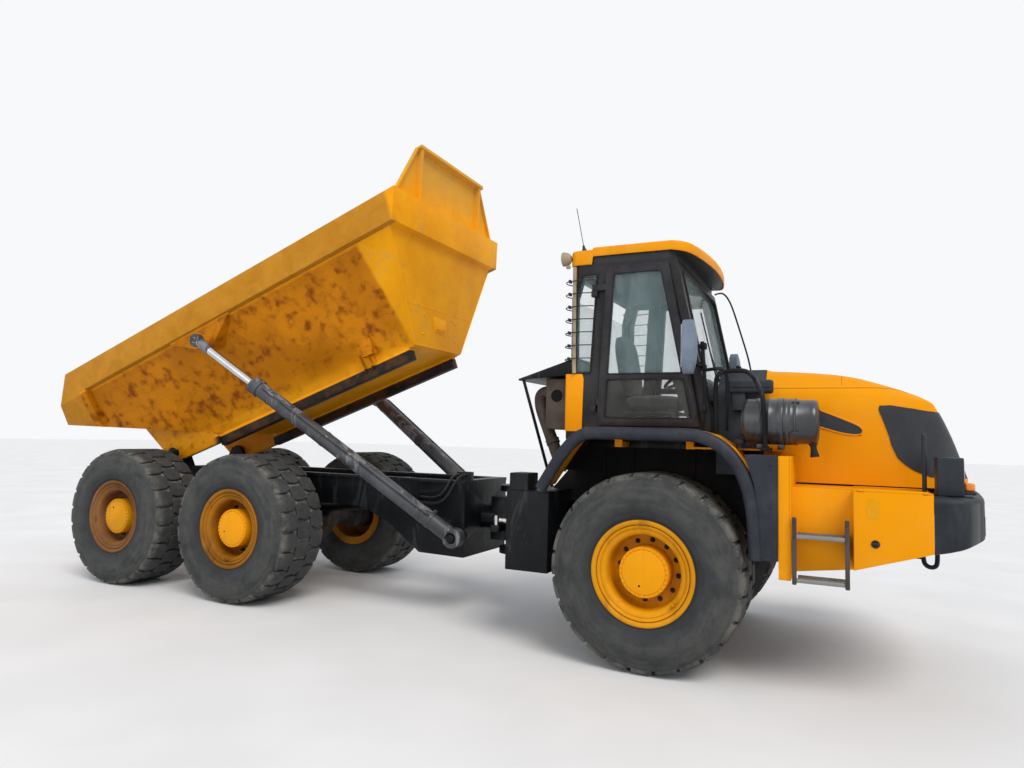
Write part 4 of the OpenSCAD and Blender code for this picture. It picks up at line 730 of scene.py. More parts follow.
def tube(name, points, radius, smooth_path=True, sides=10, steps=6, loop=False):
    """A round tube along points given from the front axle, closed at both ends or into a loop."""
    piece = begin(name, bpy.ops.curve.primitive_nurbs_path_add)
    curve = piece.data
    curve.dimensions = "3D"
    curve.splines.clear()
    kind = "NURBS" if smooth_path and len(points) > 2 else "POLY"
    line = curve.splines.new(kind)
    line.points.add(len(points) - 1)
    for knot, p in zip(line.points, points):
        knot.co = (*at(*p), 1)
    line.use_cyclic_u = loop
    if kind == "NURBS":
        line.order_u = 3
        line.use_endpoint_u = True
        line.resolution_u = steps
    curve.bevel_depth = radius
    curve.bevel_resolution = max(0, sides // 4 - 1)
    curve.use_fill_caps = True
    piece.location = (0, 0, 0)
    piece.rotation_euler = (0, 0, 0)
    select_only(piece)
    bpy.ops.object.convert(target="MESH")
    piece = bpy.context.object
    piece.name = piece.data.name = name
    tidy_normals(piece, 1e-5)
    return piece


def skin(name, rows, wall=0.0, edge=0.0):
    """A surface through rows of points given from the front axle, made into a wall where one is asked for."""
    piece = begin(name, bpy.ops.mesh.primitive_grid_add, x_subdivisions=len(rows[0]) - 1,
        y_subdivisions=len(rows) - 1, size=1)
    points = [at(*p) for row in rows for p in row]
    with Editing(piece, "VERT") as work:
        work.move(lambda i, co: points[i])
    if wall:
        modify(piece, "SOLIDIFY", thickness=abs(wall), offset=math.copysign(1, wall))
    if edge:
        round_edges(piece, edge, 2, 50)
    return piece


def along(pairs, x):
    """Reads a value at x off a bent line, given as pairs that rise in x."""
    if x <= pairs[0][0]:
        return pairs[0][1]
    for (a, p), (b, q) in zip(pairs, pairs[1:]):
        if x <= b:
            return p + (q - p) * (x - a) / (b - a)
    return pairs[-1][1]


def about(place, turn, axis, shift=(0, 0, 0)):
    """A turn about an axis through a place, and then a shift."""
    there = Matrix.Translation(place + Vector(shift))
    return there @ Matrix.Rotation(turn, 4, axis) @ Matrix.Translation(-place)


def shell_of(name, rows, wall, merge=0.0):
    """A hollow shell with its outer face through the rows."""
    shell = skin(name, rows)
    tidy_normals(shell, merge)
    modify(shell, "SOLIDIFY", thickness=wall, offset=-1)
    return shell


def knob(r, wall, crown, height):
    """The profile of a bolt's head or a cap, by its radius, wall, crown's radius and height."""
    return [(0, 0), (r, 0), (r, wall), (crown, height), (0, height)]


def share_of(part, whole):
    return max(0.0, min(1.0, part / whole))


def copied(piece, name, change=None):
    """A copy with its own mesh, moved by a matrix. A mirrored copy has its faces turned back out."""
    twin = piece.copy()
    twin.data = piece.data.copy()
    twin.name = twin.data.name = name
    bpy.context.scene.collection.objects.link(twin)
    twin.parent = None
    twin.matrix_world = Matrix.Identity(4)
    if change is not None:
        twin.data.transform(change)
        if change.determinant() < 0:
            twin.data.flip_normals()
    return twin


MIRROR = Matrix.Scale(-1, 4, Vector((0, 1, 0)))


def joined(name, pieces):
    """Several pieces as one."""
    bpy.ops.object.select_all(action="DESELECT")
    for piece in pieces:
        piece.select_set(True)
    bpy.context.view_layer.objects.active = pieces[0]
    if len(pieces) > 1:
        bpy.ops.object.join()
    made = bpy.context.object
    made.name = made.data.name = name
    return made


def pair(name, made, coat, like, smooth_angle=35, stands_for=(), body=None):
    """A piece, or several joined, for the right side, and its mirror image on the left.

    Only the right one stands for nodes, and a body's name may have a gap for the side.
    """
    piece = joined(name, made) if isinstance(made, list) else made
    twin = copied(piece, name + "_left", MIRROR)
    piece.name = piece.data.name = name + "_right"
    for one, (side, _) in zip((piece, twin), SIDES):
        nodes = stands_for if one is piece else ()
        finish(one, coat, like, smooth_angle, nodes, (body or BODY_OF[like]).format(side))


def softened(node, width, segments=2, angle=25, coat=None, dissolve=True, drop=None, cutters=()):
    """A copy of a CAD node with its edges broken, which stands for the node."""
    source = frame["nodes"][node]
    piece = copied(source, node + "_soft")
    for key in [k for k in piece.keys() if k.startswith("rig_")]:
        del piece[key]
    with Editing(piece) as work:
        work.on_all(bpy.ops.mesh.remove_doubles, threshold=2e-5)
        if dissolve:
            work.on_all(bpy.ops.mesh.dissolve_limited, angle_limit=math.radians(0.6))
    if drop:
        with Editing(piece, "VERT") as work:
            work.choose(drop)
            bpy.ops.mesh.delete(type="VERT")
    for cutter in cutters:
        modify(piece, "BOOLEAN", object=cutter, operation="DIFFERENCE", solver="EXACT")
        bpy.data.objects.remove(cutter)
    round_edges(piece, width, segments, angle)
    return finish(piece, coat or NODE_FINISH[node], node, 35, (node,))


def set_stage():
    """A pale floor under a pale sky, with soft light from above."""
    floor = begin("floor", bpy.ops.mesh.primitive_grid_add, x_subdivisions=4, y_subdivisions=4, size=160)
    tone = Finish("pale floor", Roughness=0.75)
    cloud = tone.noise(0.8, 4, 0.5)
    tone.set(Base_Color=tone.blend(cloud.ramp(0.3, 0.7), (0.74, 0.73, 0.72), (0.79, 0.78, 0.77)))
    floor.data.materials.append(tone.material)
    world = bpy.data.worlds.new("soft sky")
    bpy.context.scene.world = world
    world.use_nodes = True
    tree = world.node_tree
    tree.nodes.clear()
    out = tree.nodes.new("ShaderNodeOutputWorld")
    light = tree.nodes.new("ShaderNodeBackground")
    light.inputs[0].default_value = (0.86, 0.92, 1.0, 1)
    light.inputs[1].default_value = 0.72
    back = tree.nodes.new("ShaderNodeBackground")
    back.inputs[0].default_value = (0.93, 0.945, 0.96, 1)
    back.inputs[1].default_value = 1.0
    path = tree.nodes.new("ShaderNodeLightPath")
    seen = path.outputs["Is Camera Ray"]
    for ray in ("Is Glossy Ray", "Is Transmission Ray"):
        either = tree.nodes.new("ShaderNodeMath")
        either.operation = "MAXIMUM"
        tree.links.new(seen, either.inputs[0])
        tree.links.new(path.outputs[ray], either.inputs[1])
        seen = either.outputs[0]
    mix = tree.nodes.new("ShaderNodeMixShader")
    tree.links.new(seen, mix.inputs[0])
    tree.links.new(light.outputs[0], mix.inputs[1])
    tree.links.new(back.outputs[0], mix.inputs[2])
    tree.links.new(mix.outputs[0], out.inputs[0])
    add_lamp("high soft sun", "SUN", 1.9, at(9, -8, 14), at(0, 0, 0), angle=math.radians(30),
        color=(1.0, 0.97, 0.93))
    add_lamp("front fill", "AREA", 260, at(-5, -14, 6), at(-2, 0, 1.5), size=9)


# Wheels

HUB = at(0, -TRACK, WHEEL_Z)
LUG_DEPTH = 0.04
MIDDLE_ROW = 0.09
SHOULDER_AT = 0.245
TURNS = {"front": 0.0, "mid": 0.9, "rear": 2.3}
LUGS = 24


def radial(angle, r, h):
    """A point round the right front hub: r out from the axle line and h outwards along it."""
    return HUB + Vector((math.sin(angle) * r, -h, math.cos(angle) * r))


def each_wheel():
    """Each wheel's place along the truck, the end of its names, and what brings the first wheel there."""
    for wheel, x in WHEELS.items():
        roll = about(HUB, TURNS[wheel], "Y", (x, 0, 0))
        for side, sign in SIDES:
            yield wheel, "_%s_%s" % (wheel, side), roll if sign < 0 else MIRROR @ roll


def tread_block(name, low, high, middle, ends, turn):
    """One lug, as a grid bent round the tyre: its edges across the tread and its half lengths."""
    piece = begin(name, bpy.ops.mesh.primitive_grid_add, x_subdivisions=4, y_subdivisions=3, size=1)
    with Editing(piece) as work:
        work.on_all(bpy.ops.mesh.extrude_region_move, TRANSFORM_OT_translate={"value": (0, 0, -1)})
        work.on_all(bpy.ops.mesh.normals_make_consistent, inside=False)

        def bent(i, co):
            h = low + (co.y + 0.5) * (high - low)
            reach = abs(h) - MIDDLE_ROW
            inner = max(0, 1 - reach / 0.06) if reach >= 0 and low * high > 0 else 0
            half = middle + (ends - middle) * abs(2 * co.y) - 0.026 * inner + 0.007 * -co.z
            drop = max(0, abs(h) - SHOULDER_AT) / 0.034 * 0.019
            r = TYRE_R - drop - (0.0008 if co.z > -0.5 else LUG_DEPTH)
            return radial(turn * TAU / LUGS + 2 * co.x * half / TYRE_R, r, h)
        work.move(bent)
    round_edges(piece, 0.0045, 1, 40)
    return piece


def tyre_tread():
    rows = ((-0.092, 0.092, 0.0875, 0.06, 0.5), (MIDDLE_ROW, 0.279, 0.086, 0.0775, 0.0),
        (-0.279, -MIDDLE_ROW, 0.086, 0.0775, 0.0))
    lugs = [tread_block("lug", *row) for row in rows]
    one = joined("lug_row", lugs)
    return joined("tread", [one] + [copied(one, "lug", about(HUB, k * TAU / LUGS, "Y"))
        for k in range(1, LUGS)])


def tyre_carcass():
    outer = [(0.332, 0.249), (0.345, 0.264), (0.372, 0.272), (0.398, 0.277), (0.407, 0.289), (0.418, 0.297),
        (0.433, 0.3), (0.444, 0.303), (0.449, 0.307), (0.47, 0.3125), (0.5, 0.3175), (0.532, 0.3205),
        (0.565, 0.3195), (0.596, 0.3145), (0.62, 0.3085), (0.634, 0.305), (0.638, 0.3005), (0.652, 0.297),
        (0.668, 0.291), (0.682, 0.283), (0.69, 0.274), (0.696, 0.262), (0.701, 0.24), (0.705, 0.17),
        (0.706, 0.09)]
    inner = [(0.657, 0.167), (0.622, 0.24), (0.532, 0.287), (0.432, 0.275), (0.361, 0.217), (0.332, 0.217)]
    ring = outer + [(r, -h) for r, h in reversed(outer)] + [(r, -h) for r, h in reversed(inner)] + inner
    return turned("carcass", ring, HUB, (0, -1, 0), 96)


def add_tyres():
    carcass = tyre_carcass()
    carcass.data.materials.append(RUBBER.material)
    carcass.data.materials.append(DUST.material)
    for face in carcass.data.polygons:
        from_hub = face.center - HUB
        if math.hypot(from_hub.x, from_hub.z) > 0.694 and abs(from_hub.y) < 0.27:
            face.material_index = 1
    tread = tyre_tread()
    tread.data.materials.append(RUBBER.material)
    tyre = joined("tyre", [carcass, tread])
    own = tyre.data.attributes.new("wheel", "FLOAT_VECTOR", "POINT")
    for vert, place in zip(tyre.data.vertices, own.data):
        d = vert.co - HUB
        place.vector = (math.hypot(d.x, d.z), abs(d.y), abs(math.atan2(d.x, d.z)))
    for _, tag, change in each_wheel():
        piece = copied(tyre, "road_tyre" + tag, change)
        smooth(piece, 40)
        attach(piece, "wheel" + tag)
        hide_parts("tyre" + tag)
    bpy.data.objects.remove(tyre)


def peg(name, sides, radius, height, place, edge, segments):
    """An upright prism on the wheel's face, with its edges rounded."""
    piece = begin(name, bpy.ops.mesh.primitive_cylinder_add, vertices=sides, radius=radius, depth=height,
        location=place, rotation=(math.pi / 2, 0, 0))
    apply_place(piece)
    round_edges(piece, edge, segments, 40)
    return piece


def bolt_ring(name, count, r, h, radius, height, sides=6, start=0.0, crown=0.3):
    """A ring of bolt heads round the hub."""
    head = peg(name, sides, radius, height, radial(0, r, h + height / 2), radius * crown, 2)
    rest = [copied(head, name, about(HUB, start + k * TAU / count, "Y")) for k in range(count)]
    bpy.data.objects.remove(head)
    return joined(name, rest)


def rim_shell():
    """The rim: a rounded flange, a locked ring, a grooved seat and the deep dish."""
    front = [(0.3909, 0.262), (0.3905, 0.274), (0.387, 0.2825), (0.38, 0.2858), (0.37, 0.2855),
        (0.36, 0.281), (0.354, 0.275), (0.351, 0.264), (0.3485, 0.264), (0.3465, 0.272), (0.342, 0.2745),
        (0.333, 0.272), (0.325, 0.266), (0.3215, 0.258), (0.319, 0.2575), (0.3165, 0.2615), (0.308, 0.26),
        (0.296, 0.255), (0.286, 0.248), (0.28, 0.238), (0.2765, 0.222), (0.2755, 0.19), (0.2745, 0.11),
        (0.268, 0.082), (0.258, 0.0715), (0.24, 0.07), (0.17, 0.07)]
    back = [(0.17, 0.046), (0.3085, 0.045), (0.3085, -0.2858), (0.3909, -0.2858), (0.3909, -0.274),
        (0.331, -0.249), (0.331, 0.249), (0.3909, 0.2535)]
    return turned("rim", front + back, HUB, (0, -1, 0), 96)


def hub_cap():
    shell = [(0.186, 0.0705), (0.186, 0.218), (0.1835, 0.2225), (0.1835, 0.2245), (0.1855, 0.226),
        (0.185, 0.2275), (0.163, 0.228), (0.1605, 0.2345), (0.157, 0.2357), (0.0, 0.2357), (0.0, 0.1505),
        (0.15, 0.1505), (0.15, 0.0705)]
    cap = turned("hub_cap", shell, HUB, (0, -1, 0), 72)
    scallops = bolt_ring("scallop", 30, 0.1735, 0.224, 0.0105, 0.0118, 8, 0.05)
    plugs = []
    for x, z, r in ((-0.067, 0.127, 0.02), (-0.03, -0.1, 0.017)):
        line = [(r, 0.2358), (r, 0.2355), (r * 0.82, 0.2358), (r * 0.78, 0.2332), (r * 0.5, 0.2334),
            (r * 0.45, 0.2357), (0, 0.2358)]
        plugs.append(turned("plug", line, HUB + Vector((x, 0, z)), (0, -1, 0), 20))
    return joined("hub_cap", [cap, scallops] + plugs)


def valve():
    """The tyre valve and its clip, on the rim's ring."""
    a = 2.29
    seat = 0.302
    stem = [radial(a, r, h) - ORIGIN for r, h in ((0.315, 0.25), (0.318, 0.268), (0.31, 0.279),
        (0.292, 0.28))]
    clip = begin("clip", bpy.ops.mesh.primitive_cube_add, size=1, location=radial(a, seat, 0.262))
    clip.scale = (0.075, 0.012, 0.016)
    clip.rotation_euler = (0, a, 0)
    apply_place(clip)
    round_edges(clip, 0.003, 2)
    studs = [peg("stud", 8, 0.007, 0.014, radial(a + turn, seat, 0.27), 0.002, 1)
        for turn in (-0.09, 0.0, 0.09)]
    return joined("valve", [tube("stem", stem, 0.0055), clip] + studs)


def add_rims():
    rim, cap, fixing = rim_shell(), hub_cap(), valve()
    nuts = bolt_ring("wheel_nut", 12, 0.225, 0.0702, 0.0155, 0.024, 6, 0.12, 0.2)
    seats = bolt_ring("nut_seat", 12, 0.225, 0.0702, 0.0195, 0.006, 16, 0.12, 0.25)
    studs = bolt_ring("nut_stud", 12, 0.225, 0.09, 0.0075, 0.022, 8, 0.12, 0.2)
    nuts = joined("wheel_nuts", [nuts, seats, studs])
    coats = {"front": RIM, "mid": MID_RIM, "rear": RUSTY_RIM}
    for wheel, tag, change in each_wheel():
        for name, source, coat, angle, nodes in (("wheel_rim", rim, coats[wheel], 32, ("rim" + tag,)),
                ("hub_cap", cap, RIM if wheel == "rear" else HUB_PAINT, 35, ()),
                ("wheel_nuts", nuts, AXLE_IRON, 35, ()), ("valve", fixing, coats[wheel], 35, ())):
            finish(copied(source, name + tag, change), coat, "rim_front_right", angle, nodes, "wheel" + tag)
    for piece in (rim, cap, nuts, fixing):
        bpy.data.objects.remove(piece)


add_tyres()
add_rims()


# Bonnet

BONNET_BACK = 0.7895
GRILLE_LOW, GRILLE_TALL, GRILLE_HALF = 1.5, 0.46, 0.42
CROWN_END = 2.0145
SILL = 1.4225
TOP_LINE = ((0.789, 2.29), (1.0, 2.28), (1.15, 2.266), (1.294, 2.248), (1.45, 2.212), (1.601, 2.171),
    (1.73, 2.138), (1.85, 2.1), (1.94, 2.069), (CROWN_END, 2.035))
NOSE_LINE = ((1.45, 2.2155), (1.58, 2.187), (1.706, 2.1545), (1.81, 2.119), (1.9, 2.0845), (1.97, 2.051),
    (2.036, 2.0145))
PLAN = ((0.789, 0.7), (1.7, 0.7), (1.84, 0.689), (1.95, 0.67), (2.03, 0.63), (2.1, 0.57), (2.3, 0.37))
SHOULDER = ((1.45, 0.7), (1.98, 0.7), (2.11, 0.66), (2.2, 0.54), (2.4, 0.37))
LEVELS = ((SILL, 0), (1.56, 0), (1.7, 0), (1.85, 0), (1.96, 0), (2.05, 0.03), (2.11, 0.018), (2.16, 0.01),
    (2.2, 0.005), (2.25, 0.002))


def bonnet_point(x, level):
    """A point of the bonnet's right flank, over the station x, at a level from the sill up to the middle."""
    count = len(LEVELS)
    crown = along(TOP_LINE, x)
    k = min(int(level), count - 2)
    if level <= count - 1:
        share = level - k
        z = LEVELS[k][0] + share * (LEVELS[k + 1][0] - LEVELS[k][0])
        gap = LEVELS[k][1] + share * (LEVELS[k + 1][1] - LEVELS[k][1])
        return (x, -min(along(PLAN, x), along(SHOULDER, z)), min(z, crown - gap))
    share = (level - count + 1) / 3
    edge = min(along(PLAN, x), along(SHOULDER, LEVELS[-1][0]))
    return (x, -edge * (1 - share), crown - 0.002 * (1 - share))


def nose_end(level):
    """Where the bonnet's flank meets its nose, at a level."""
    z = bonnet_point(CROWN_END, level)[2]
    x = along(NOSE_LINE, z)
    y = bonnet_point(x if z < 1.98 else CROWN_END, level)[1]
    return (x, y, z)


def bonnet_rows(flank=46, nose=12, half=44):
    """Points over the whole bonnet: from its rear edge to the nose, and round to the grille."""
    rows = []
    top_level = len(LEVELS) + 2
    for i in range(flank + nose + 1):
        row = []
        for k in range(half + 1):
            level = top_level * k / half
            end = nose_end(level)
            if i <= flank:
                x = BONNET_BACK + (end[0] - BONNET_BACK) * i / flank
                point = bonnet_point(min(x, CROWN_END) if level > 4.5 else x, level)
                row.append(Vector((x, point[1], point[2])))
            else:
                share = (i - flank) / nose
                z = GRILLE_LOW + min(1, (end[2] - SILL) / 0.53) * GRILLE_TALL
                y = max(end[1], -GRILLE_HALF) if end[2] > 1.95 else -GRILLE_HALF
                mouth = Vector((along(NOSE_LINE, z), y, z))
                point = Vector(end).lerp(mouth, share)
                point.x = along(NOSE_LINE, point.z) if point.z < 2.03 else point.x
                row.append(point)
        rows.append(row)
    for _ in range(10):
        fresh = [list(row) for row in rows]
        for i in range(1, len(rows) - 1):
            for k in range(1, half + 1):
                inner = rows[i][k + 1] if k < half else rows[i][k - 1] * Vector((1, -1, 1))
                fresh[i][k] = rows[i][k] * 0.4 + (rows[i - 1][k] + rows[i + 1][k] + rows[i][k - 1]
                    + inner) * 0.15
                if k == half:
                    fresh[i][k].y = 0
        rows = fresh
    return rows


def on_rows(rows, i, k):
    """A point between the rows, at two fractional numbers."""
    a, b = min(int(i), len(rows) - 2), min(int(k), len(rows[0]) - 2)
    s, t = i - a, k - b
    return (rows[a][b].lerp(rows[a][b + 1], t)).lerp(rows[a + 1][b].lerp(rows[a + 1][b + 1], t), s)


def lifted(rows, i, k, lift):
    """A point a little way out from the rows' surface."""
    here = on_rows(rows, i, k)
    step = 0.3
    across = on_rows(rows, min(i + step, len(rows) - 1), k) - on_rows(rows, max(i - step, 0), k)
    up = on_rows(rows, i, min(k + step, len(rows[0]) - 1)) - on_rows(rows, i, max(k - step, 0))
    out = across.cross(up).normalized()
    if out.y > 0.02 or (out.z < -0.5):
        out = -out
    return here + out * lift


def mirrored_row(row):
    return [tuple(p) for p in row] + [(p[0], -p[1], p[2]) for p in reversed(row[:-1])]


MESH_HIGH = ((1.569, 1.992), (1.679, 1.998), (1.802, 1.982), (1.957, 1.96), (2.2, 1.94))
MESH_LOW = ((1.566, 1.953), (1.573, 1.906), (1.598, 1.8), (1.634, 1.706), (1.674, 1.637), (1.725, 1.581),
    (1.796, 1.532), (1.91, 1.497), (2.133, 1.491), (2.3, 1.491))


def level_of(rows, i, line):
    """How far up the row i the surface crosses the line."""
    k = 0.0
    while k < 30:
        p = on_rows(rows, i, k)
        if p.z >= along(line, p.x):
            return k
        k += 0.05
    return k


def drawn_back(piece):
    """Pulls the nose back from where the flank starts to fall, more so high up."""
    with Editing(piece, "VERT") as work:
        def pull(i, co):
            x, z = co.x - AXLE, co.z
            low = share_of(2.03 - z, 0.55)
            share = share_of(x - 1.45 - 0.39 * low, 0.58 - 0.18 * low)
            return Vector((co.x - (0.112 - 0.03 * low) * share, co.y, co.z))
        work.move(pull)
    return piece


def add_bonnet():
    rows = bonnet_rows()
    shell = shell_of("bonnet_shell", [mirrored_row(row) for row in rows], 0.008)
    sill = block("bonnet_sill", (2.15, -0.45, 1.4515), (2.2135, 0.45, 1.5), 0.006)
    shell = joined("bonnet_shell", [shell, sill])
    drawn_back(shell)
    finish(shell, BODY, "bonnet", 30, ("bonnet",))
    # the dark mesh that sweeps down the flank and round to the grille
    first = next(i / 10 for i in range(400) if on_rows(rows, i / 10, 24).x > 1.566)
    last = len(rows) - 1.6
    columns = 40
    panel = []
    for c in range(columns + 1):
        i = first + (last - first) * c / columns
        low, high = level_of(rows, i, MESH_LOW), level_of(rows, i, MESH_HIGH)
        if c == 0:
            low, high = low + (high - low) * 0.12, high - (high - low) * 0.12
        panel.append([lifted(rows, i, low + (high - low) * m / 14, 0.0015) for m in range(15)])
    mesh = skin("nose_mesh", panel, -0.004)
    tidy_normals(mesh)
    round_edges(mesh, 0.0015, 1, 50)
    drawn_back(mesh)
    pair("nose_mesh", mesh, SWOOSH, "grille", 40)
    # the joint between the crown's two panels, and the one along the shoulder
    seam_i = next(i / 10 for i in range(400) if on_rows(rows, i / 10, 36).x > 1.326)
    ribs = []
    for name, path in (("crown", [(seam_i, 25 + 19 * m / 40) for m in range(41)]),
            ("shoulder", [(1 + 43 * m / 80, 23.4) for m in range(81)])):
        wide, tall = (0.045, 0) if name == "crown" else (0, 0.09)
        strip = [[lifted(rows, i + wide * e, k + tall * e, 0.0004) for i, k in path] for e in (-1, 1)]
        ribs.append(skin("seam_" + name, strip, 0.0006))
    seams = joined("bonnet_seams", ribs)
    tidy_normals(seams)
    drawn_back(seams)
    pair("bonnet_seams", seams, SEAM, "bonnet", 0)
    # the scoop in the flank, with its raised rim
    scoop = [(1.14, 1.977), (1.189, 1.957), (1.336, 1.897), (1.444, 1.85), (1.472, 1.815), (1.452, 1.775),
        (1.302, 1.794), (1.185, 1.834), (1.12, 1.86)]
    panel = side_plate("flank_vent", scoop, -0.7005, -0.7035, 0.001)
    pair("flank_vent", panel, SWOOSH, "grille", 0)
    rim = tube("flank_vent_rim", [(x, -0.7025, z) for x, z in scoop[1:-1]], 0.0055, True, 8)
    pair("flank_vent_rim", rim, BODY, "bonnet")


add_bonnet()


# Roof

ROOF_EDGE = ((-0.766, 0.4), (-0.766, 0.74), (-0.758, 0.81), (-0.735, 0.842), (-0.7, 0.853), (-0.567, 0.853),
    (-0.557, 0.853), (-0.35, 0.854), (-0.1, 0.854), (0.1, 0.852), (0.17, 0.842), (0.216, 0.81),
    (0.245, 0.755), (0.272, 0.66), (0.3, 0.5), (0.32, 0.3), (0.33, 0.12))


ROOF_STEP = -0.562


def roof_loop():
    right = [(x, -y) for x, y in ROOF_EDGE]
    return right + [(x, y) for x, y in reversed(ROOF_EDGE)] + [right[0]]


def add_roof():
    rows = []
    for x, y in roof_loop():
        back = x < ROOF_STEP
        front = share_of(x - 0.1, 0.2)
        low = 3.168 if back else 3.236 - 0.03 * front
        high = 3.298 if back else 3.316 - 0.028 * front
        heart = Vector((max(-0.62 if back else -0.5, min(x, 0.12)), 0, 3.33 if back else 3.337))
        edge = Vector((x, y, high))
        row = [Vector((x, y, low)), Vector((x, y, high - 0.022)),
            Vector((x, y, high - 0.008)).lerp(heart, 0.006)]
        for share, rise in ((0.022, 0.0), (0.07, 0.006), (0.2, 0.013), (0.45, 0.0165), (0.75, 0.0185),
                (1, 0)):
            point = edge.lerp(heart, share)
            point.z = min(heart.z, edge.z + rise * 1.2) if share < 1 else heart.z
            row.append(point)
        rows.append(row)
    shell = shell_of("roof_shell", rows, 0.012, 1e-4)
    round_edges(shell, 0.004, 2, 50)
    finish(shell, ROOF, "cab_roof", 40, ("cab_roof",))
    ring = [(-0.748, 0.79), (-0.7, 0.835), (0.08, 0.835), (0.13, 0.8), (0.14, 0.3)]
    under = plate("roof_ring", both_ways(ring, 3.158), (0, 0, 0.086), 0.004)
    visor = plate("visor", both_ways([(x - 0.016, y * 0.965) for x, y in ROOF_EDGE if x > 0.05], 3.222),
        (0, 0, 0.014), 0)
    finish(joined("roof_underside", [under, visor]), BLACK, "cab_frame")


add_roof()


# Cab


def pane(z, rear):
    """The X of the door glass's rear or front edge at a height."""
    return -0.425 + 0.0549 * (z - 1.835) if rear else 0.2845 - 0.2038 * (z - 1.835)


def window_seal(name, corners, y, radius=0.007):
    """A rubber seal round a window, with rounded corners."""
    points = []
    for here, before, after in zip(corners, corners[-1:] + corners[:-1], corners[1:] + corners[:1]):
        here, before, after = Vector(here), Vector(before), Vector(after)
        points += [here + (before - here).normalized() * 0.045, here + (before - here).normalized() * 0.012,
            here + (after - here).normalized() * 0.012, here + (after - here).normalized() * 0.045]
    return tube(name, [(p.x, y, p.y) for p in points], radius, False, 8, loop=True)


def on_screen(y, z, foot=0.4345):
    """A point in front of the leaning windscreen, whose plane starts at the station foot."""
    return (foot - 0.21344 * (z - 1.895), y, z)


def add_cab():
    softened("cab_frame", 0.004, dissolve=False)
    for side, _ in SIDES:
        softened("door_" + side, 0.004, coat=DOOR, dissolve=False)
    seals = []
    for name, low, high in (("upper", 2.236, 3.064), ("lower", 1.881, 2.189)):
        corners = [(pane(z, rear), z) for z, rear in ((low, True), (low, False), (high, False),
            (high, True))]
        seals.append(window_seal(name, corners, -0.896))
    pair("door_seals", seals, SEAL, "door_right", body="door_{}")
    quarter = [(-0.689, 2.252), (-0.562, 2.252), (-0.514, 3.078), (-0.648, 3.078), (-0.689, 2.9)]
    pair("quarter_seal", window_seal("quarter", quarter, -0.858), SEAL, "cab_frame")
    # bars across the quarter window, bent round the corner post
    bars = []
    highest, gap = 3.03, 0.1095
    for k in range(7):
        z = highest - gap * k
        bars.append(tube("bar", [(-0.535, -0.872, z), (-0.56, -0.888, z), (-0.65, -0.897, z),
            (-0.735, -0.893, z - 0.003), (-0.785, -0.872, z - 0.007), (-0.798, -0.82, z - 0.01),
            (-0.782, -0.77, z - 0.012), (-0.762, -0.752, z - 0.012)], 0.0045, True, 8))
        bars.append(block("bar_clip", (-0.755, -0.9, z - 0.016), (-0.735, -0.856, z + 0.01), 0.003, 1))
    pair("quarter_bars", bars, BLACK, "cab_frame")
    post = tube("rear_tube", [(-0.698, -0.868, 2.25), (-0.7, -0.874, 2.3), (-0.708, -0.874, 3.1),
        (-0.71, -0.866, 3.15)], 0.017, True)
    pair("rear_tube", post, BEIGE, "cab_frame")
    corner = [plate("side", [at(x, -0.8555, z) for x, z in ((-0.7695, 1.765), (-0.628, 1.765),
        (-0.618, 2.2), (-0.63, 2.243), (-0.7695, 2.243))], (0, -0.006, 0), 0.002),
        plate("back", [at(-0.7705, y, z) for y, z in ((-0.8615, 1.765), (-0.8615, 2.243), (-0.72, 2.243),
        (-0.72, 1.765))], (-0.006, 0, 0), 0.002)]
    pair("corner_panel", corner, BODY, "fenders")
    # a lamp that looks back over the bed's front, and the aerial
    bowl = [(0.0, 0.0), (0.03, 0.0), (0.048, 0.018), (0.058, 0.045), (0.061, 0.062), (0.061, 0.07),
        (0.056, 0.07), (0.053, 0.064), (0.0, 0.062)]
    lamp = turned("rear_lamp", bowl, at(-0.758, -0.835, 3.235), (-1, 0, 0), 32)
    bracket = block("lamp_bracket", (-0.8, -0.845, 3.15), (-0.765, -0.825, 3.18), 0.003)
    pair("rear_lamp", [lamp, bracket], BEIGE, "lamps")
    lens = turned("rear_lens", [(0, 0.0), (0.052, 0.0), (0.052, 0.003), (0.03, 0.006), (0, 0.007)],
        at(-0.8215, -0.835, 3.235), (-1, 0, 0), 32)
    pair("rear_lens", lens, CLEAR, "lamps")
    base = turned("aerial_base", [(0, 0), (0.022, 0), (0.022, 0.008), (0.014, 0.02), (0.009, 0.05),
        (0, 0.05)], at(-0.652, -0.8, 3.302), (-0.2, 0, 1), 20)
    whip = tube("whip", [(-0.659, -0.8, 3.34), (-0.69, -0.803, 3.5), (-0.726, -0.806, 3.68)], 0.003, True,
        6)
    finish(joined("aerial", [base, whip]), BLACK, "cab_frame")
    # the screen's seal and its wiper
    screen = [(-0.757, 1.993), (0.757, 1.993), (0.737, 3.087), (-0.737, 3.087)]
    edge = []
    for (ya, za), (yb, zb) in zip(screen, screen[1:] + screen[:1]):
        for share in (0.03, 0.5, 0.97):
            y, z = ya + (yb - ya) * share, za + (zb - za) * share
            edge.append(on_screen(y, z, 0.424))
    finish(tube("screen_seal", edge, 0.009, False, 8, loop=True), SEAL, "cab_frame")
    arm = tube("wiper_arm", [on_screen(y, z) for y, z in ((0.02, 1.96), (-0.06, 2.1), (-0.3, 2.5))], 0.006,
        False, 8)
    blade = tube("wiper_blade", [on_screen(-0.26, 2.2), on_screen(-0.34, 2.8)], 0.007, False, 6)
    finish(joined("wiper", [arm, blade]), BLACK, "cab_frame")


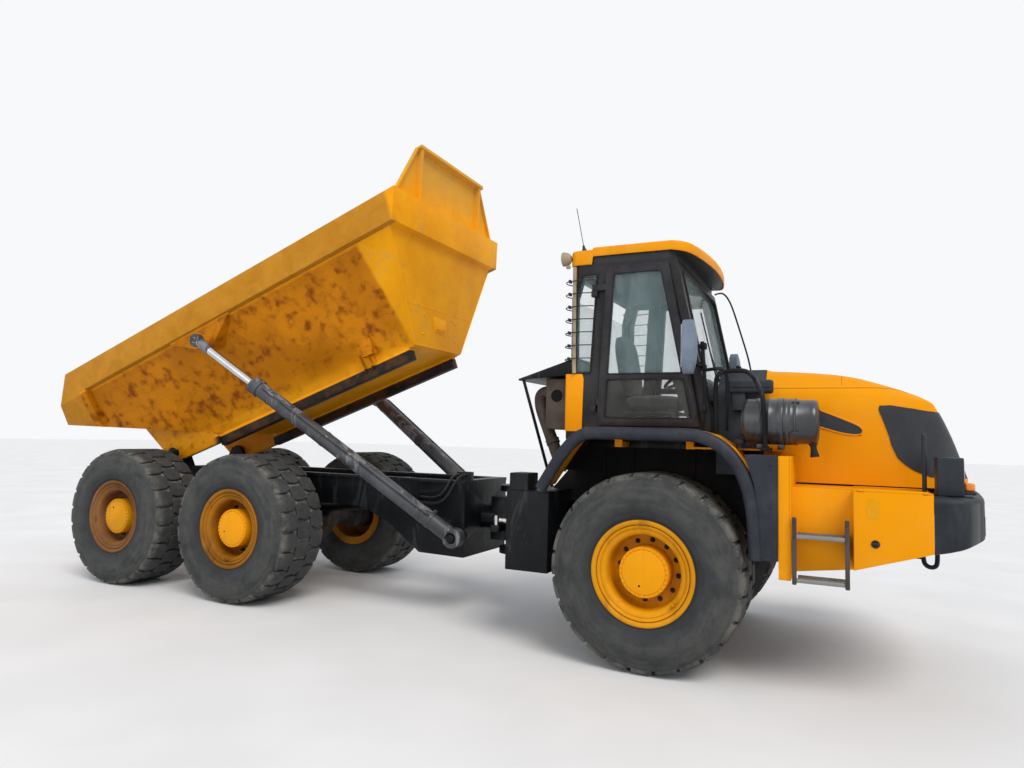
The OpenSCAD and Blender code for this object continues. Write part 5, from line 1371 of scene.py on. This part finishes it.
def add_mirrors():
    head = block("mirror_head", (0.262, -1.205, 2.205), (0.368, -1.052, 2.612), 0.0)
    with Editing(head) as work:
        work.on_all(bpy.ops.mesh.subdivide, number_cuts=7)
        middle, half = at(0.315, -1.1285, 2.4085), Vector((0.053, 0.0765, 0.2035))

        def rounded(i, co):
            d = co - middle
            across, tall = abs(d.y) / half.y, abs(d.z) / half.z
            rim = max(across, tall)
            oval = rim / (across ** 3.2 + tall ** 3.2) ** (1 / 3.2) if rim else 1
            bulge = 1 - 0.62 * max(0.0, d.x / half.x) * rim ** 2.5
            taper = 1 - 0.1 * max(0.0, -d.z / half.z)
            return middle + Vector((d.x * bulge, d.y * oval * taper, d.z * oval))
        work.move(rounded)
    modify(head, "SUBSURF", levels=1, render_levels=1)
    pair("mirror_head", head, MIRROR_SHELL, "mirrors", 60)
    glass = plate("mirror_glass", [at(0.2625, y, z) for y, z in ((-1.19, 2.25), (-1.07, 2.25),
        (-1.07, 2.57), (-1.19, 2.57))], (-0.002, 0, 0), 0.0)
    pair("mirror_glass", glass, CHROME, "mirrors", 0)
    post = tube("mirror_post", [(0.36, -0.903, 1.79), (0.372, -0.925, 1.86), (0.39, -0.93, 2.1),
        (0.378, -0.93, 2.3), (0.366, -0.93, 2.47)], 0.016, True)
    arms = [tube("arm", [(0.372, -0.93, 2.43), (0.35, -1.0, 2.44), (0.322, -1.07, 2.44)], 0.011, True),
        tube("arm", [(0.378, -0.93, 2.27), (0.35, -1.0, 2.285), (0.322, -1.07, 2.3)], 0.009, True),
        tube("brace", [(0.303, -0.902, 2.305), (0.34, -0.92, 2.308), (0.378, -0.93, 2.31)], 0.011, True)]
    clamps = [block("clamp", (0.35, -0.952, z), (0.4, -0.9, z + 0.05), 0.008) for z in (1.93, 2.245, 2.41)]
    rail = tube("rail", [(0.385, -0.93, 2.25), (0.47, -0.925, 2.262), (0.535, -0.925, 2.258),
        (0.552, -0.925, 2.2), (0.55, -0.93, 2.0), (0.55, -0.94, 1.79)], 0.0145, True)
    pair("mirror_stand", [post] + arms + clamps + [rail], CHASSIS, "mirrors", stands_for=("mirrors",))
    guard = tube("left_guard_rail", [(0.15, 0.862, 3.19), (0.19, 0.9, 3.215), (0.24, 0.92, 3.2),
        (0.3, 0.92, 3.1), (0.38, 0.92, 2.84), (0.5, 0.92, 2.43), (0.51, 0.92, 2.25)], 0.009, True)
    finish(guard, CHASSIS, "handrails")


def add_handrails():
    rail = tube("handrail", [(0.47, -0.9, 1.768), (0.464, -0.9, 1.95), (0.462, -0.901, 2.14),
        (0.475, -0.91, 2.215), (0.535, -0.922, 2.24), (0.62, -0.942, 2.242), (0.7, -0.962, 2.238),
        (0.765, -1.03, 2.175), (0.815, -1.15, 2.08), (0.836, -1.182, 2.02), (0.845, -1.185, 1.85),
        (0.85, -1.186, 1.672)], 0.0175, True, 12)
    foot = block("foot_plate", (0.82, -1.205, 1.6505), (0.88, -1.0, 1.6745), 0.004)
    bolts = [turned("foot_bolt", knob(0.012, 0.008, 0.008, 0.011), at(0.85, y, 1.6745), (0, 0, 1), 6)
        for y in (-1.03, -1.11)]
    pair("handrail", [rail, foot] + bolts, CHASSIS, "handrails", stands_for=("handrails",))


add_cab()
add_mirrors()
add_handrails()


# Fender flares, and painted shade in the wheel arch

ARCH = ((-0.87, 1.33), (-0.79, 1.46), (-0.7, 1.598), (-0.6, 1.715), (-0.5, 1.781), (-0.38, 1.8), (0.0, 1.8),
    (0.3, 1.8), (0.42, 1.786), (0.53, 1.745), (0.63, 1.672), (0.71, 1.57), (0.765, 1.46), (0.8, 1.34),
    (0.822, 1.2), (0.84, 0.904))


def swept(name, path, profile, steps=6):
    """Sweeps a closed profile, given as inset and Y, along a smooth path in X and Z."""
    fine = []
    for k in range(len(path) - 1):
        p0, p1, p2, p3 = (Vector(path[max(0, min(len(path) - 1, k + d))]) for d in (-1, 0, 1, 2))
        for m in range(steps):
            t = m / steps
            fine.append(0.5 * (2 * p1 + (p2 - p0) * t + (2 * p0 - 5 * p1 + 4 * p2 - p3) * t * t
                + (3 * p1 - p0 - 3 * p2 + p3) * t ** 3))
    fine.append(Vector(path[-1]))
    rows = []
    for k, here in enumerate(fine):
        run = (fine[min(k + 1, len(fine) - 1)] - fine[max(k - 1, 0)]).normalized()
        inward = Vector((run.y, -run.x))
        rows.append([(here.x + inward.x * n, y, here.y + inward.y * n) for n, y in profile + profile[:1]])
    piece = skin(name, rows)
    with Editing(piece, "EDGE") as work:
        work.on_all(bpy.ops.mesh.remove_doubles, threshold=1e-5)
        work.on_all(bpy.ops.mesh.fill_holes, sides=0)
        work.on_all(bpy.ops.mesh.normals_make_consistent, inside=False)
    return piece


def add_fenders():
    softened("fenders", 0.004)
    profile = [(0.0, -1.201), (0.0005, -1.232), (0.009, -1.252), (0.024, -1.264), (0.045, -1.2695),
        (0.066, -1.2665), (0.084, -1.254), (0.094, -1.237), (0.096, -1.214), (0.09, -1.2035),
        (0.05, -1.2005)]
    flare = swept("flare", ARCH, profile)
    flap = side_plate("flap", [(0.715, 1.622), (0.76, 1.627), (0.936, 1.627), (0.9385, 1.6),
        (0.9385, 0.906), (0.82, 0.906), (0.81, 1.2), (0.78, 1.42)], -1.2205, -1.2495, 0.006)
    studs = [turned("stud", knob(0.011, 0.004, 0.007, 0.007), at(0.895, -1.2495, z), (0, -1, 0), 12)
        for z in (1.56, 1.27)]
    crown = turned("stud", [(0, 0), (0.016, 0), (0.014, 0.006), (0, 0.008)], at(0.277, -1.268, 1.768),
        (0, -1, 0.1), 16)
    pair("flare", [flare, flap] + studs + [crown], TRIM, "fender_trims", 40, ("fender_trims",))
    # a near-black panel and arch liner behind the wheel, with ribs: painted shade for the dark space in the
    # arch
    arch_shade_panel = side_plate("wheel_housing", [(-0.77, 1.262), (-0.985, 1.262), (-0.69, 1.6), (-0.5, 1.69),
        (0.4, 1.69), (0.6, 1.6), (0.72, 1.42), (0.8, 1.16), (0.93, 1.16), (0.93, 1.0), (0.45, 1.0),
        (0.4, 1.1), (-0.35, 1.1), (-0.45, 1.0), (-0.77, 1.0)], -0.606, -0.6, 0.002)
    arch = [[(x, y, z - 0.024) for y in (-0.6, -0.7, -0.8, -0.858)] for x, z in ARCH[1:13]]
    liner = skin("wheel_liner", arch, 0.004)
    ribs = [tube("rib", [(x, -0.609, 1.12), (x, -0.609, 1.66)], 0.012, False, 8)
        for x in (-0.5, -0.25, 0.25)]
    pair("wheel_housing", [arch_shade_panel, liner] + ribs, SHADE_BLACK, "front_chassis")


add_fenders()


# Flank, steps, bumper and lamps


def add_flank():
    softened("side_boxes", 0.006)
    for side, _ in SIDES:
        softened("box_lid_" + side, 0.005, 3)
    softened("cowl", 0.02, 4, 20)
    duct = [block("duct", (0.535, -0.775, 2.082), (0.862, -0.7025, 2.188), 0.022, 4),
        block("lip", (0.56, -0.783, 2.128), (0.84, -0.77, 2.14), 0.005),
        block("web", (0.56, -0.76, 1.95), (0.66, -0.7025, 2.09), 0.012)]
    pair("cowl_duct", duct, COWL, "cowl")
    patch = plate("faded_patch", [at(x, -1.2508, z) for x, z in ((1.483, 1.232), (1.548, 1.238),
        (1.556, 1.352), (1.49, 1.366), (1.478, 1.3))], (0, -0.0006, 0), 0)
    pair("faded_patch", patch, FADED, "box_lid_right", 0, body="box_lid_{}")
    latch = [turned("latch_bowl", [(0.0, 0.001), (0.018, 0.001), (0.026, 0.004), (0.026, 0.0)],
        at(1.527, -1.2498, 1.076), (0, -1, 0), 24), block("latch_grip", (1.503, -1.262, 1.069),
        (1.551, -1.2505, 1.087), 0.005)]
    pair("box_latch", latch, BLACK, "grille", body="box_lid_{}")
    lip = [block("lip", (1.002, -1.1, 1.4105), (1.4, -1.06, 1.417), 0.002),
        block("lip", (1.402, -0.785, 1.4105), (1.857, -0.762, 1.4175), 0.002)]
    pair("flank_lip", lip, BODY, "side_boxes")
    strips = [block("edge", (1.012, -1.2405, 0.8), (1.0195, -1.2435, 1.62), 0.001, 1),
        block("foot", (0.9405, -1.2395, 0.786), (1.0195, -1.0, 0.86), 0.006)]
    pair("pillar_edge", strips, BODY, "side_boxes")
    loop = tube("tow_loop", [(1.8, -1.15, 1.03), (1.8, -1.15, 0.985), (1.815, -1.15, 0.955),
        (1.845, -1.15, 0.945), (1.87, -1.15, 0.955), (1.878, -1.15, 0.985), (1.878, -1.15, 1.03)], 0.014,
        True)
    pair("tow_loop", loop, CHASSIS, "front_chassis")


def add_steps():
    bars = []
    posts = [block("post", (x, -1.2745, 0.7705), (x + 0.028, -1.2405, 1.2145), 0.006)
        for x in (1.0275, 1.3495)]
    pitch = 0.0155
    for low, high in ((0.7855, 0.8125), (1.0755, 1.1025)):
        for y in (-1.2695, -1.1305):
            bars.append(block("tread_rail", (1.0545, y, low), (1.3505, y + 0.025, high), 0.003))
        for k in range(19):
            x = 1.062 + k * pitch
            bars.append(block("tooth", (x, -1.245, high - 0.014), (x + 0.004, -1.13, high - 0.0004), 0))
        for k in range(18):
            x = 1.0655 + k * pitch
            stub = begin("grip", bpy.ops.mesh.primitive_cone_add, vertices=5, radius1=0.0045,
                radius2=0.0015, depth=0.006, location=at(x, -1.257, high + 0.0025))
            apply_place(stub)
            bars.append(stub)
    gusset = plate("gusset", [at(1.362, y, z) for y, z in ((-1.2405, 1.16), (-1.2405, 0.86), (-1.05, 1.0),
        (-1.05, 1.08))], (0.005, 0, 0), 0.001)
    posts += [turned("bolt", knob(0.009, 0.005, 0.006, 0.007), at(x + 0.014, -1.2745, z), (0, -1, 0), 6)
        for x in (1.0275, 1.3495) for z in (0.8, 1.09, 1.19)]
    pair("step_posts", posts + [gusset], STEP_POST, "steps")
    pair("steps", bars, TREAD, "steps", stands_for=("steps",))


BUMPER_PLAN = ((1.8573, 1.248), (1.94, 1.249), (2.0, 1.245), (2.034, 1.228), (2.062, 1.195), (2.1, 1.125),
    (2.14, 1.04), (2.168, 0.92), (2.19, 0.75), (2.208, 0.58), (2.228, 0.35), (2.242, 0.15), (2.2465, 0.0))


def add_bumper():
    path = [Vector((x, -y)) for x, y in BUMPER_PLAN] + [Vector((x, y))
        for x, y in reversed(BUMPER_PLAN[:-1])]
    rows = []
    for k, here in enumerate(path):
        run = (path[min(k + 1, len(path) - 1)] - path[max(k - 1, 0)]).normalized()
        inward = Vector((-run.y, run.x))
        low = 1.036 + 0.078 * share_of(here.x - 1.87, 0.27)
        face = [(low + 0.002, 0.058), (low, 0.04), (low, 0.014), (low + 0.008, 0.003), (low + 0.03, 0.0)]
        face += [(low + (1.335 - low) * s, 0.0) for s in (0.3, 0.6, 0.85)]
        face += [(1.342, 0.001), (1.356, 0.0), (1.372, 0.004), (1.385, 0.014), (1.3925, 0.03),
            (1.394, 0.055), (1.394, 0.16 if abs(here.y) > 1.0 else 0.3)]
        rows.append([(here.x + inward.x * n, here.y + inward.y * n, z) for z, n in face])
    finish(shell_of("bumper_shell", rows, 0.012), BUMPER, "bumper", 40, ("bumper",))
    for name, sign in SIDES:
        # a near-black plate in each of the bumper's slots: painted shade for the opening
        slot = plate("bumper_slot", [at(2.1685 - 0.135 * (abs(y) - 0.92), sign * y, z)
            for y, z in ((0.9, 1.145), (0.945, 1.145), (0.945, 1.265), (0.9, 1.265))], (0.0015, 0, 0), 0)
        finish(slot, SHADE_BLACK, "grille", 0, body="tractor")
        slot.name = "bumper_slot_" + name
    softened("lamps", 0.008, 3, drop=lambda co: co.x > AXLE + 2.0405)
    lens = block("side_lamp", (2.0445, -1.05, 1.4305), (2.104, -0.94, 1.484), 0.014, 4)
    pair("side_lamp", lens, AMBER, "lamps")
    base = block("lamp_base", (1.985, -1.062, 1.4085), (2.108, -0.934, 1.4295), 0.005)
    pair("lamp_base", base, BLACK, "grille", body="tractor")
    head = block("head_lamp", (2.041, -1.05, 1.5), (2.046, -0.93, 1.62), 0.002)
    pair("head_lamp", head, CLEAR, "lamps")
    cap = turned("post_cap", [(0, 0.018), (0.008, 0.0165), (0.0135, 0.01), (0.0155, 0.0), (0.0155, -0.03),
        (0.0, -0.03)], at(1.825, -1.0, 1.7805), (0, 0, 1), 20)
    pair("post_cap", cap, GREY, "lamps")


add_flank()
add_steps()
add_bumper()


# Air cleaner and exhaust


def add_air_cleaner():
    line = at(0, -1.0, 1.862)
    body = [(0.0, 0.6705), (0.075, 0.6705), (0.079, 0.6755), (0.11, 0.677), (0.117, 0.684),
        (0.1195, 0.6915), (0.146, 0.6925), (0.158, 0.6985), (0.1635, 0.711), (0.1645, 0.73), (0.1645, 0.86),
        (0.1665, 0.863), (0.1665, 0.87), (0.1645, 0.873), (0.1645, 0.975), (0.1668, 0.978), (0.1668, 0.984),
        (0.1645, 0.987), (0.1645, 1.003), (0.1668, 1.006), (0.1668, 1.012), (0.1645, 1.015), (0.163, 1.03),
        (0.1695, 1.033), (0.1695, 1.045), (0.163, 1.048), (0.1575, 1.06), (0.1575, 1.15), (0.155, 1.168),
        (0.147, 1.1795), (0.136, 1.184), (0.118, 1.185), (0.115, 1.1885), (0.104, 1.1885), (0.101, 1.184),
        (0.068, 1.183), (0.064, 1.1885), (0.056, 1.1885), (0.052, 1.183), (0.0, 1.182)]
    parts = [turned("air_body", body, line, (1, 0, 0), 64)]
    for x in (0.7805, 0.922):
        parts.append(turned("strap", [(0.1645, x), (0.1695, x), (0.1705, x + 0.002), (0.1705, x + 0.036),
            (0.1695, x + 0.038), (0.1645, x + 0.038)], line, (1, 0, 0), 64))
        parts.append(block("strap_foot", (x - 0.004, -1.05, 1.6625), (x + 0.042, -0.95, 1.705), 0.006))
        parts.append(block("strap_bolt", (x + 0.008, -1.176, 1.84), (x + 0.03, -1.166, 1.885), 0.003))
    for turn in (0.5, 2.1, 3.7, 5.3):
        clip = block("clip", (1.02, -1.174, 1.85), (1.068, -1.16, 1.874), 0.003)
        clip.data.transform(about(line, turn, "X"))
        parts.append(clip)
    parts.append(tube("outlet", [(0.742, -0.86, 1.862), (0.742, -0.8, 1.862), (0.742, -0.702, 1.862)],
        0.045, False, 16))
    parts.append(turned("outlet_clamp", [(0.045, 0.0), (0.049, 0.0), (0.049, 0.02), (0.045, 0.02)],
        at(0.742, -0.79, 1.862), (0, 1, 0), 32))
    finish(joined("air_filter", parts), AIR, "air_cleaner", 40, ("air_cleaner",))
    lean = Vector((0.13, 0, -1)).normalized()
    duck = turned("dust_valve", [(0, 0.0), (0.031, 0.0), (0.032, 0.016), (0.024, 0.026), (0.02, 0.046),
        (0.025, 0.075), (0.031, 0.102), (0.029, 0.108), (0.0, 0.104)], at(1.147, -1.0, 1.724), lean, 24)
    with Editing(duck, "VERT") as work:
        def pinch(i, co):
            deep = max(0, (1.7 - co.z) / 0.09)
            return Vector((co.x, -1.0 + (co.y + 1.0) * (1 - 0.72 * min(1, deep)), co.z))
        work.move(pinch)
    finish(duck, HOSE, "air_cleaner", 50)
    cap = turned("filler_cap", [(0, 0), (0.026, 0), (0.026, 0.03), (0.04, 0.032), (0.042, 0.04),
        (0.042, 0.06), (0.037, 0.067), (0.0, 0.068)], at(0.66, -1.06, 1.6625), (0, 0, 1), 28)
    pair("filler_cap", cap, BLACK, "grille", body="tractor")


def add_exhaust():
    box = block("muffler_shield", (-1.09, -0.55, 1.7805), (-0.8315, -0.18, 2.2355), 0.016, 3)
    ring = turned("shield_mouth", [(0.056, -0.002), (0.062, -0.0045), (0.068, -0.003), (0.07, 0.002),
        (0.056, 0.03)], at(-0.98, -0.55, 2.08), (0, 1, 0), 32)
    seam = block("seam", (-1.0925, -0.545, 1.92), (-0.9, -0.1875, 1.928), 0.003)
    rivets = [turned("rivet", [(0, 0), (0.007, 0), (0.005, 0.003), (0, 0.0035)], at(x, -0.55, z),
        (0, -1, 0), 8) for x in (-1.07, -0.86) for z in (1.82, 1.98, 2.2)]
    pipe = tube("tail_pipe", [(-1.08, -0.38, 2.13), (-1.15, -0.38, 2.13), (-1.21, -0.38, 2.1),
        (-1.205, -0.4, 2.03), (-1.18, -0.42, 1.95), (-1.09, -0.44, 1.75), (-1.01, -0.458, 1.57),
        (-0.975, -0.46, 1.49), (-0.97, -0.46, 1.405)], 0.055, True, 24, 8)
    clamp = turned("pipe_clamp", [(0.054, -0.022), (0.061, -0.022), (0.0655, -0.018), (0.061, -0.012),
        (0.061, 0.012), (0.0655, 0.018), (0.061, 0.022), (0.054, 0.022)], at(-1.052, -0.45, 1.672),
        Vector((0.4, -0.09, -0.9)), 32)
    piece = joined("exhaust_run", [box, ring, pipe, clamp, seam] + rivets)
    finish(piece, SHIELD, "exhaust", 40, ("exhaust",))
    # a near-black disc just inside the shield's mouth: painted shade for its hollow
    dark = turned("shield_mouth_shade", [(0, 0.0), (0.0565, 0.0), (0.0565, 0.003), (0, 0.003)],
        at(-0.98, -0.5515, 2.08), (0, 1, 0), 24)
    finish(dark, SHADE_BLACK, "grille", body="tractor")


add_air_cleaner()
add_exhaust()


# Seat


def pad(name, low, high, crown, pinch, lean=0.0, foot=None):
    """A crowned cushion, fuller in the middle and drawn in at its corners."""
    piece = block(name, low, high, 0)
    with Editing(piece) as work:
        work.on_all(bpy.ops.mesh.subdivide, number_cuts=11)
        middle, half = (at(*low) + at(*high)) / 2, (at(*high) - at(*low)) / 2

        def shaped(i, co):
            d = co - middle
            s = Vector((d.x / half.x, d.y / half.y, d.z / half.z))
            flat = [1 - abs(c) ** 3 for c in s]
            full = Vector((0.93 + 0.07 * flat[1] * flat[2], 0.93 + 0.07 * flat[0] * flat[2],
                1 - crown + crown * flat[0] * flat[1]))
            corner = 1 - pinch * (abs(s.x * s.y) ** 4 + abs(s.y * s.z) ** 4 + abs(s.x * s.z) ** 4) / 3
            groove = 1 - 0.05 * math.exp(-((abs(s.y) - 0.55) / 0.05) ** 2)
            return middle + Vector((d.x * full.x * corner * groove, d.y * full.y * corner,
                d.z * full.z * corner * groove))
        work.move(shaped)
    if lean:
        piece.data.transform(about(at(*foot), lean, "Y"))
    modify(piece, "SUBSURF", levels=1, render_levels=1)
    finish(piece, CLOTH, "seat", 60)
    return piece


def add_seat():
    cushion = pad("seat_cushion", (-0.478, -0.248, 1.963), (0.038, 0.248, 2.109), 0.12, 0.3)
    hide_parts("seat")
    pad("seat_back", (-0.498, -0.238, 2.112), (-0.372, 0.238, 2.665), 0.02, 0.3, -math.radians(10),
        (-0.44, 0, 2.11))
    stand = [block("seat_base", (-0.42, -0.2, 1.7005), (-0.02, 0.2, 1.74), 0.01)]
    for k in range(8):
        fold, z = 0.006 * (k % 2), 1.74 + 0.024 * k
        stand.append(block("bellows", (-0.4 + fold, -0.18 + fold, z),
            (-0.04 - fold, 0.18 - fold, z + 0.024), 0.008))
    stand.append(block("seat_pan", (-0.45, -0.23, 1.932), (0.02, 0.23, 1.962), 0.01))
    finish(joined("seat_stand", stand), BLACK, "dashboard")


add_seat()


# Frames, tanks and bed with their edges broken


def bed_place(u, y, v):
    """A point given in the bed's own plane: along the floor, across, and up from the floor."""
    return tuple(BED_EDGE + Vector((math.cos(BED_TILT) * u - math.sin(BED_TILT) * v, y,
        math.sin(BED_TILT) * u + math.cos(BED_TILT) * v)))


def flush_cutters():
    """Wedges inside the bed, where the foot of each outer bracket would come through the wall."""
    hoist_foot = [(0.8, 0.73), (0.8418, 0.73), (0.993, 1.0), (0.993, 1.03), (0.8, 1.03)]
    front_foot = [(0.48, 0.12), (0.5002, 0.12), (0.5788, 0.26), (0.48, 0.26)]
    wedges = []
    for line, u_from, u_to in ((hoist_foot, -2.8, -1.65), (front_foot, -0.6, -0.38)):
        shift = tuple(Vector(bed_place(u_to, 0, 0)) - Vector(bed_place(u_from, 0, 0)))
        wedges += [plate("cutter", [at(*bed_place(u_from, side * y, v)) for y, v in line], shift, 0)
            for side in (-1, 1)]
    return wedges


softened("front_chassis", 0.004, cutters=[block("cutter", (1.5, -0.5, 0.8), (2.3, 0.5, 1.085), 0)])
for node, width in (("outriggers", 0.004), ("chassis_posts", 0.005), ("swivel_block", 0.005),
        ("rear_frame", 0.005), ("rear_deck", 0.003), ("side_tanks", 0.016), ("bed", 0.006),
        ("dashboard", 0.012), ("engine_block", 0.008)):
    softened(node, width, dissolve=node not in ("rear_frame", "swivel_block"),
        cutters=flush_cutters() if node == "bed" else ())
drawn_back(softened("grille", 0.002, dissolve=False))


# Fittings on the bed and the hoist


def on_wall(y, v, lift=0.0):
    """A point on the sloping front wall, lifted off it."""
    return bed_place(WALL_SLOPE * v + lift * math.cos(WALL_LEAN), y, v - lift * math.sin(WALL_LEAN))


def on_flank(u, v, lift=0.0):
    """A point on the right flank, lifted off it."""
    lean = math.atan(FLANK_SLOPE)
    return bed_place(u, -(HALF_FLOOR + FLANK_SLOPE * v) - lift * math.cos(lean), v - lift * math.sin(lean))


def slab(name, corners, place, low, high, edge=0.002):
    """A flat plate on a wall of the bed, with its outline given in that wall's two directions."""
    face = [Vector(place(a, b, low)) for a, b in corners]
    shift = Vector(place(*corners[0], high)) - face[0]
    return plate(name, [at(*p) for p in face], tuple(shift), edge)


def boss(name, place, a, b, r, height, sides=6, low=0.0):
    foot = Vector(place(a, b, low))
    out = (Vector(place(a, b, low + 0.01)) - foot).normalized()
    return turned(name, knob(r, height * 0.7, r * 0.75, height), at(*foot), out, sides)


def add_bed_fittings():
    frame_line = [(-0.165, 0.315), (0.11, 0.3), (0.11, 0.145), (-0.12, 0.155)]
    inner = [(y * 0.86 - 0.003, 0.229 + (v - 0.229) * 0.78) for y, v in frame_line]
    front = [slab("hatch", frame_line, on_wall, 0.0005, 0.004),
        slab("hatch_lid", inner, on_wall, 0.0005, 0.0065, 0.002)]
    front += [boss("bolt", on_wall, y, v, 0.014, 0.012) for y,
        v in ((0.24, 0.316), (0.3, 0.3), (0.31, 0.12), (-0.33, 0.31), (-0.34, 0.12))]
    front += [tube("handle", [on_wall(y, v, 0.03 if 0 < k < 3 else 0.0)
        for k, (y, v) in enumerate(((-0.08, 0.2), (-0.075, 0.2), (0.055, 0.2), (0.06, 0.2)))], 0.007,
        False)]
    for v, half in ((0.375, 0.655), (0.0035, 0.45)):
        front.append(tube("weld", [on_wall(y * half / 8, v, 0.0) for y in range(-8, 9)], 0.0045, False, 6))
    corner = [tube("weld", [on_wall(s * (HALF_FLOOR + FLANK_SLOPE * v), v, 0.0)
        for v in (0.01, 0.25, 0.5, 0.75, 0.985)], 0.006, False, 6) for s in (-1, 1)]
    finish(joined("bed_front_fittings", front + corner), BED, "bed", 30)
    # the stay on the flank with its cheeks and bolts, and the welds along the flank
    stay = [slab("stay", [(-0.62, 0.2), (-0.5, 0.2), (-0.47, 0.12), (-0.51, -0.05), (-0.6, -0.065),
        (-0.67, -0.05), (-0.66, 0.03)], on_flank, 0.0005, 0.022, 0.004)]
    stay += [slab("cheek", [(u, 0.13), (u + 0.018, 0.13), (u + 0.008, -0.045), (u - 0.01, -0.045)],
        on_flank, 0.02, 0.055, 0.003) for u in (-0.635, -0.54)]
    stay += [boss("bolt", on_flank, u, v, 0.015, 0.012, 6, 0.022)
        for u, v in ((-0.56, 0.165), (-0.59, -0.03))]
    seam = [tube("weld", [on_flank(u, 0.004, 0.002) for u in (-2.74, -2.0, -1.4, -0.72, -0.05)], 0.006,
        False, 6), tube("weld", [on_flank(u, 0.992, 0.002) for u in (-4.0, -3.4, -2.8, -1.75, -1.0, 0.3)],
        0.007, False, 6)]
    pair("bed_side_fittings", stay + seam, BED, "bed", 30)


def add_hoist_fittings():
    foot, eye = at(*HOIST_FOOT), at(*HOIST_EYE)
    line = (eye - foot).normalized()
    up = Vector((0, 0, 1))
    side = line.cross(up).normalized()
    high = side.cross(line).normalized()

    def ring(name, low, size, r):
        high_end = low + size
        profile = [(0.077, low), (r - 0.003, low), (r, low + 0.003), (r, high_end - 0.003),
            (r - 0.003, high_end), (0.077, high_end)]
        return turned(name, profile, foot, line, 40)
    parts = [ring("band", 0.26, 0.05, 0.083), ring("band", 0.34, 0.03, 0.0815),
        ring("band", 1.62, 0.035, 0.0815), ring("gland", 2.535, 0.028, 0.0905),
        ring("gland", 2.6, 0.035, 0.0905)]
    pipe = [foot + line * d + (high * 0.55 - side * 0.83) * h
        for d, h in ((0.3, 0.07), (0.31, 0.098), (0.4, 0.1), (1.2, 0.1), (2.4, 0.1), (2.48, 0.098),
        (2.5, 0.07))]
    parts.append(tube("feed_pipe", [p - ORIGIN for p in pipe], 0.011, True, 10))
    for d in (0.38, 1.0, 1.635, 2.38):
        parts.append(ring("clip", d, 0.018, 0.0815))
    port = turned("port", knob(0.02, 0.03, 0.014, 0.034), foot + line * 0.285 + high * 0.075, high, 6)
    pair("hoist_fittings", parts + [port], BARREL, "hoist_barrel_right", 40, body="hoist_barrel_{}")
    cover = [turned("eye_cover", [(0.03, -0.0375), (0.064, -0.0375), (0.0685, -0.033), (0.0685, 0.033),
        (0.064, 0.0375), (0.03, 0.0375)], eye, (0, 1, 0), 40),
        turned("eye_neck", [(0.044, -0.2), (0.05, -0.195), (0.052, -0.13), (0.056, -0.1), (0.05, -0.05)],
        eye, line, 32), turned("grease_cap", [(0, 0), (0.024, 0), (0.02, 0.005), (0, 0.006)],
        eye + Vector((0, -0.0375, 0)), (0, -1, 0), 24)]
    pair("hoist_eye_cover", cover, BARREL, "hoist_barrel_right", 40, body="hoist_rod_{}")


add_bed_fittings()
add_hoist_fittings()


set_stage()
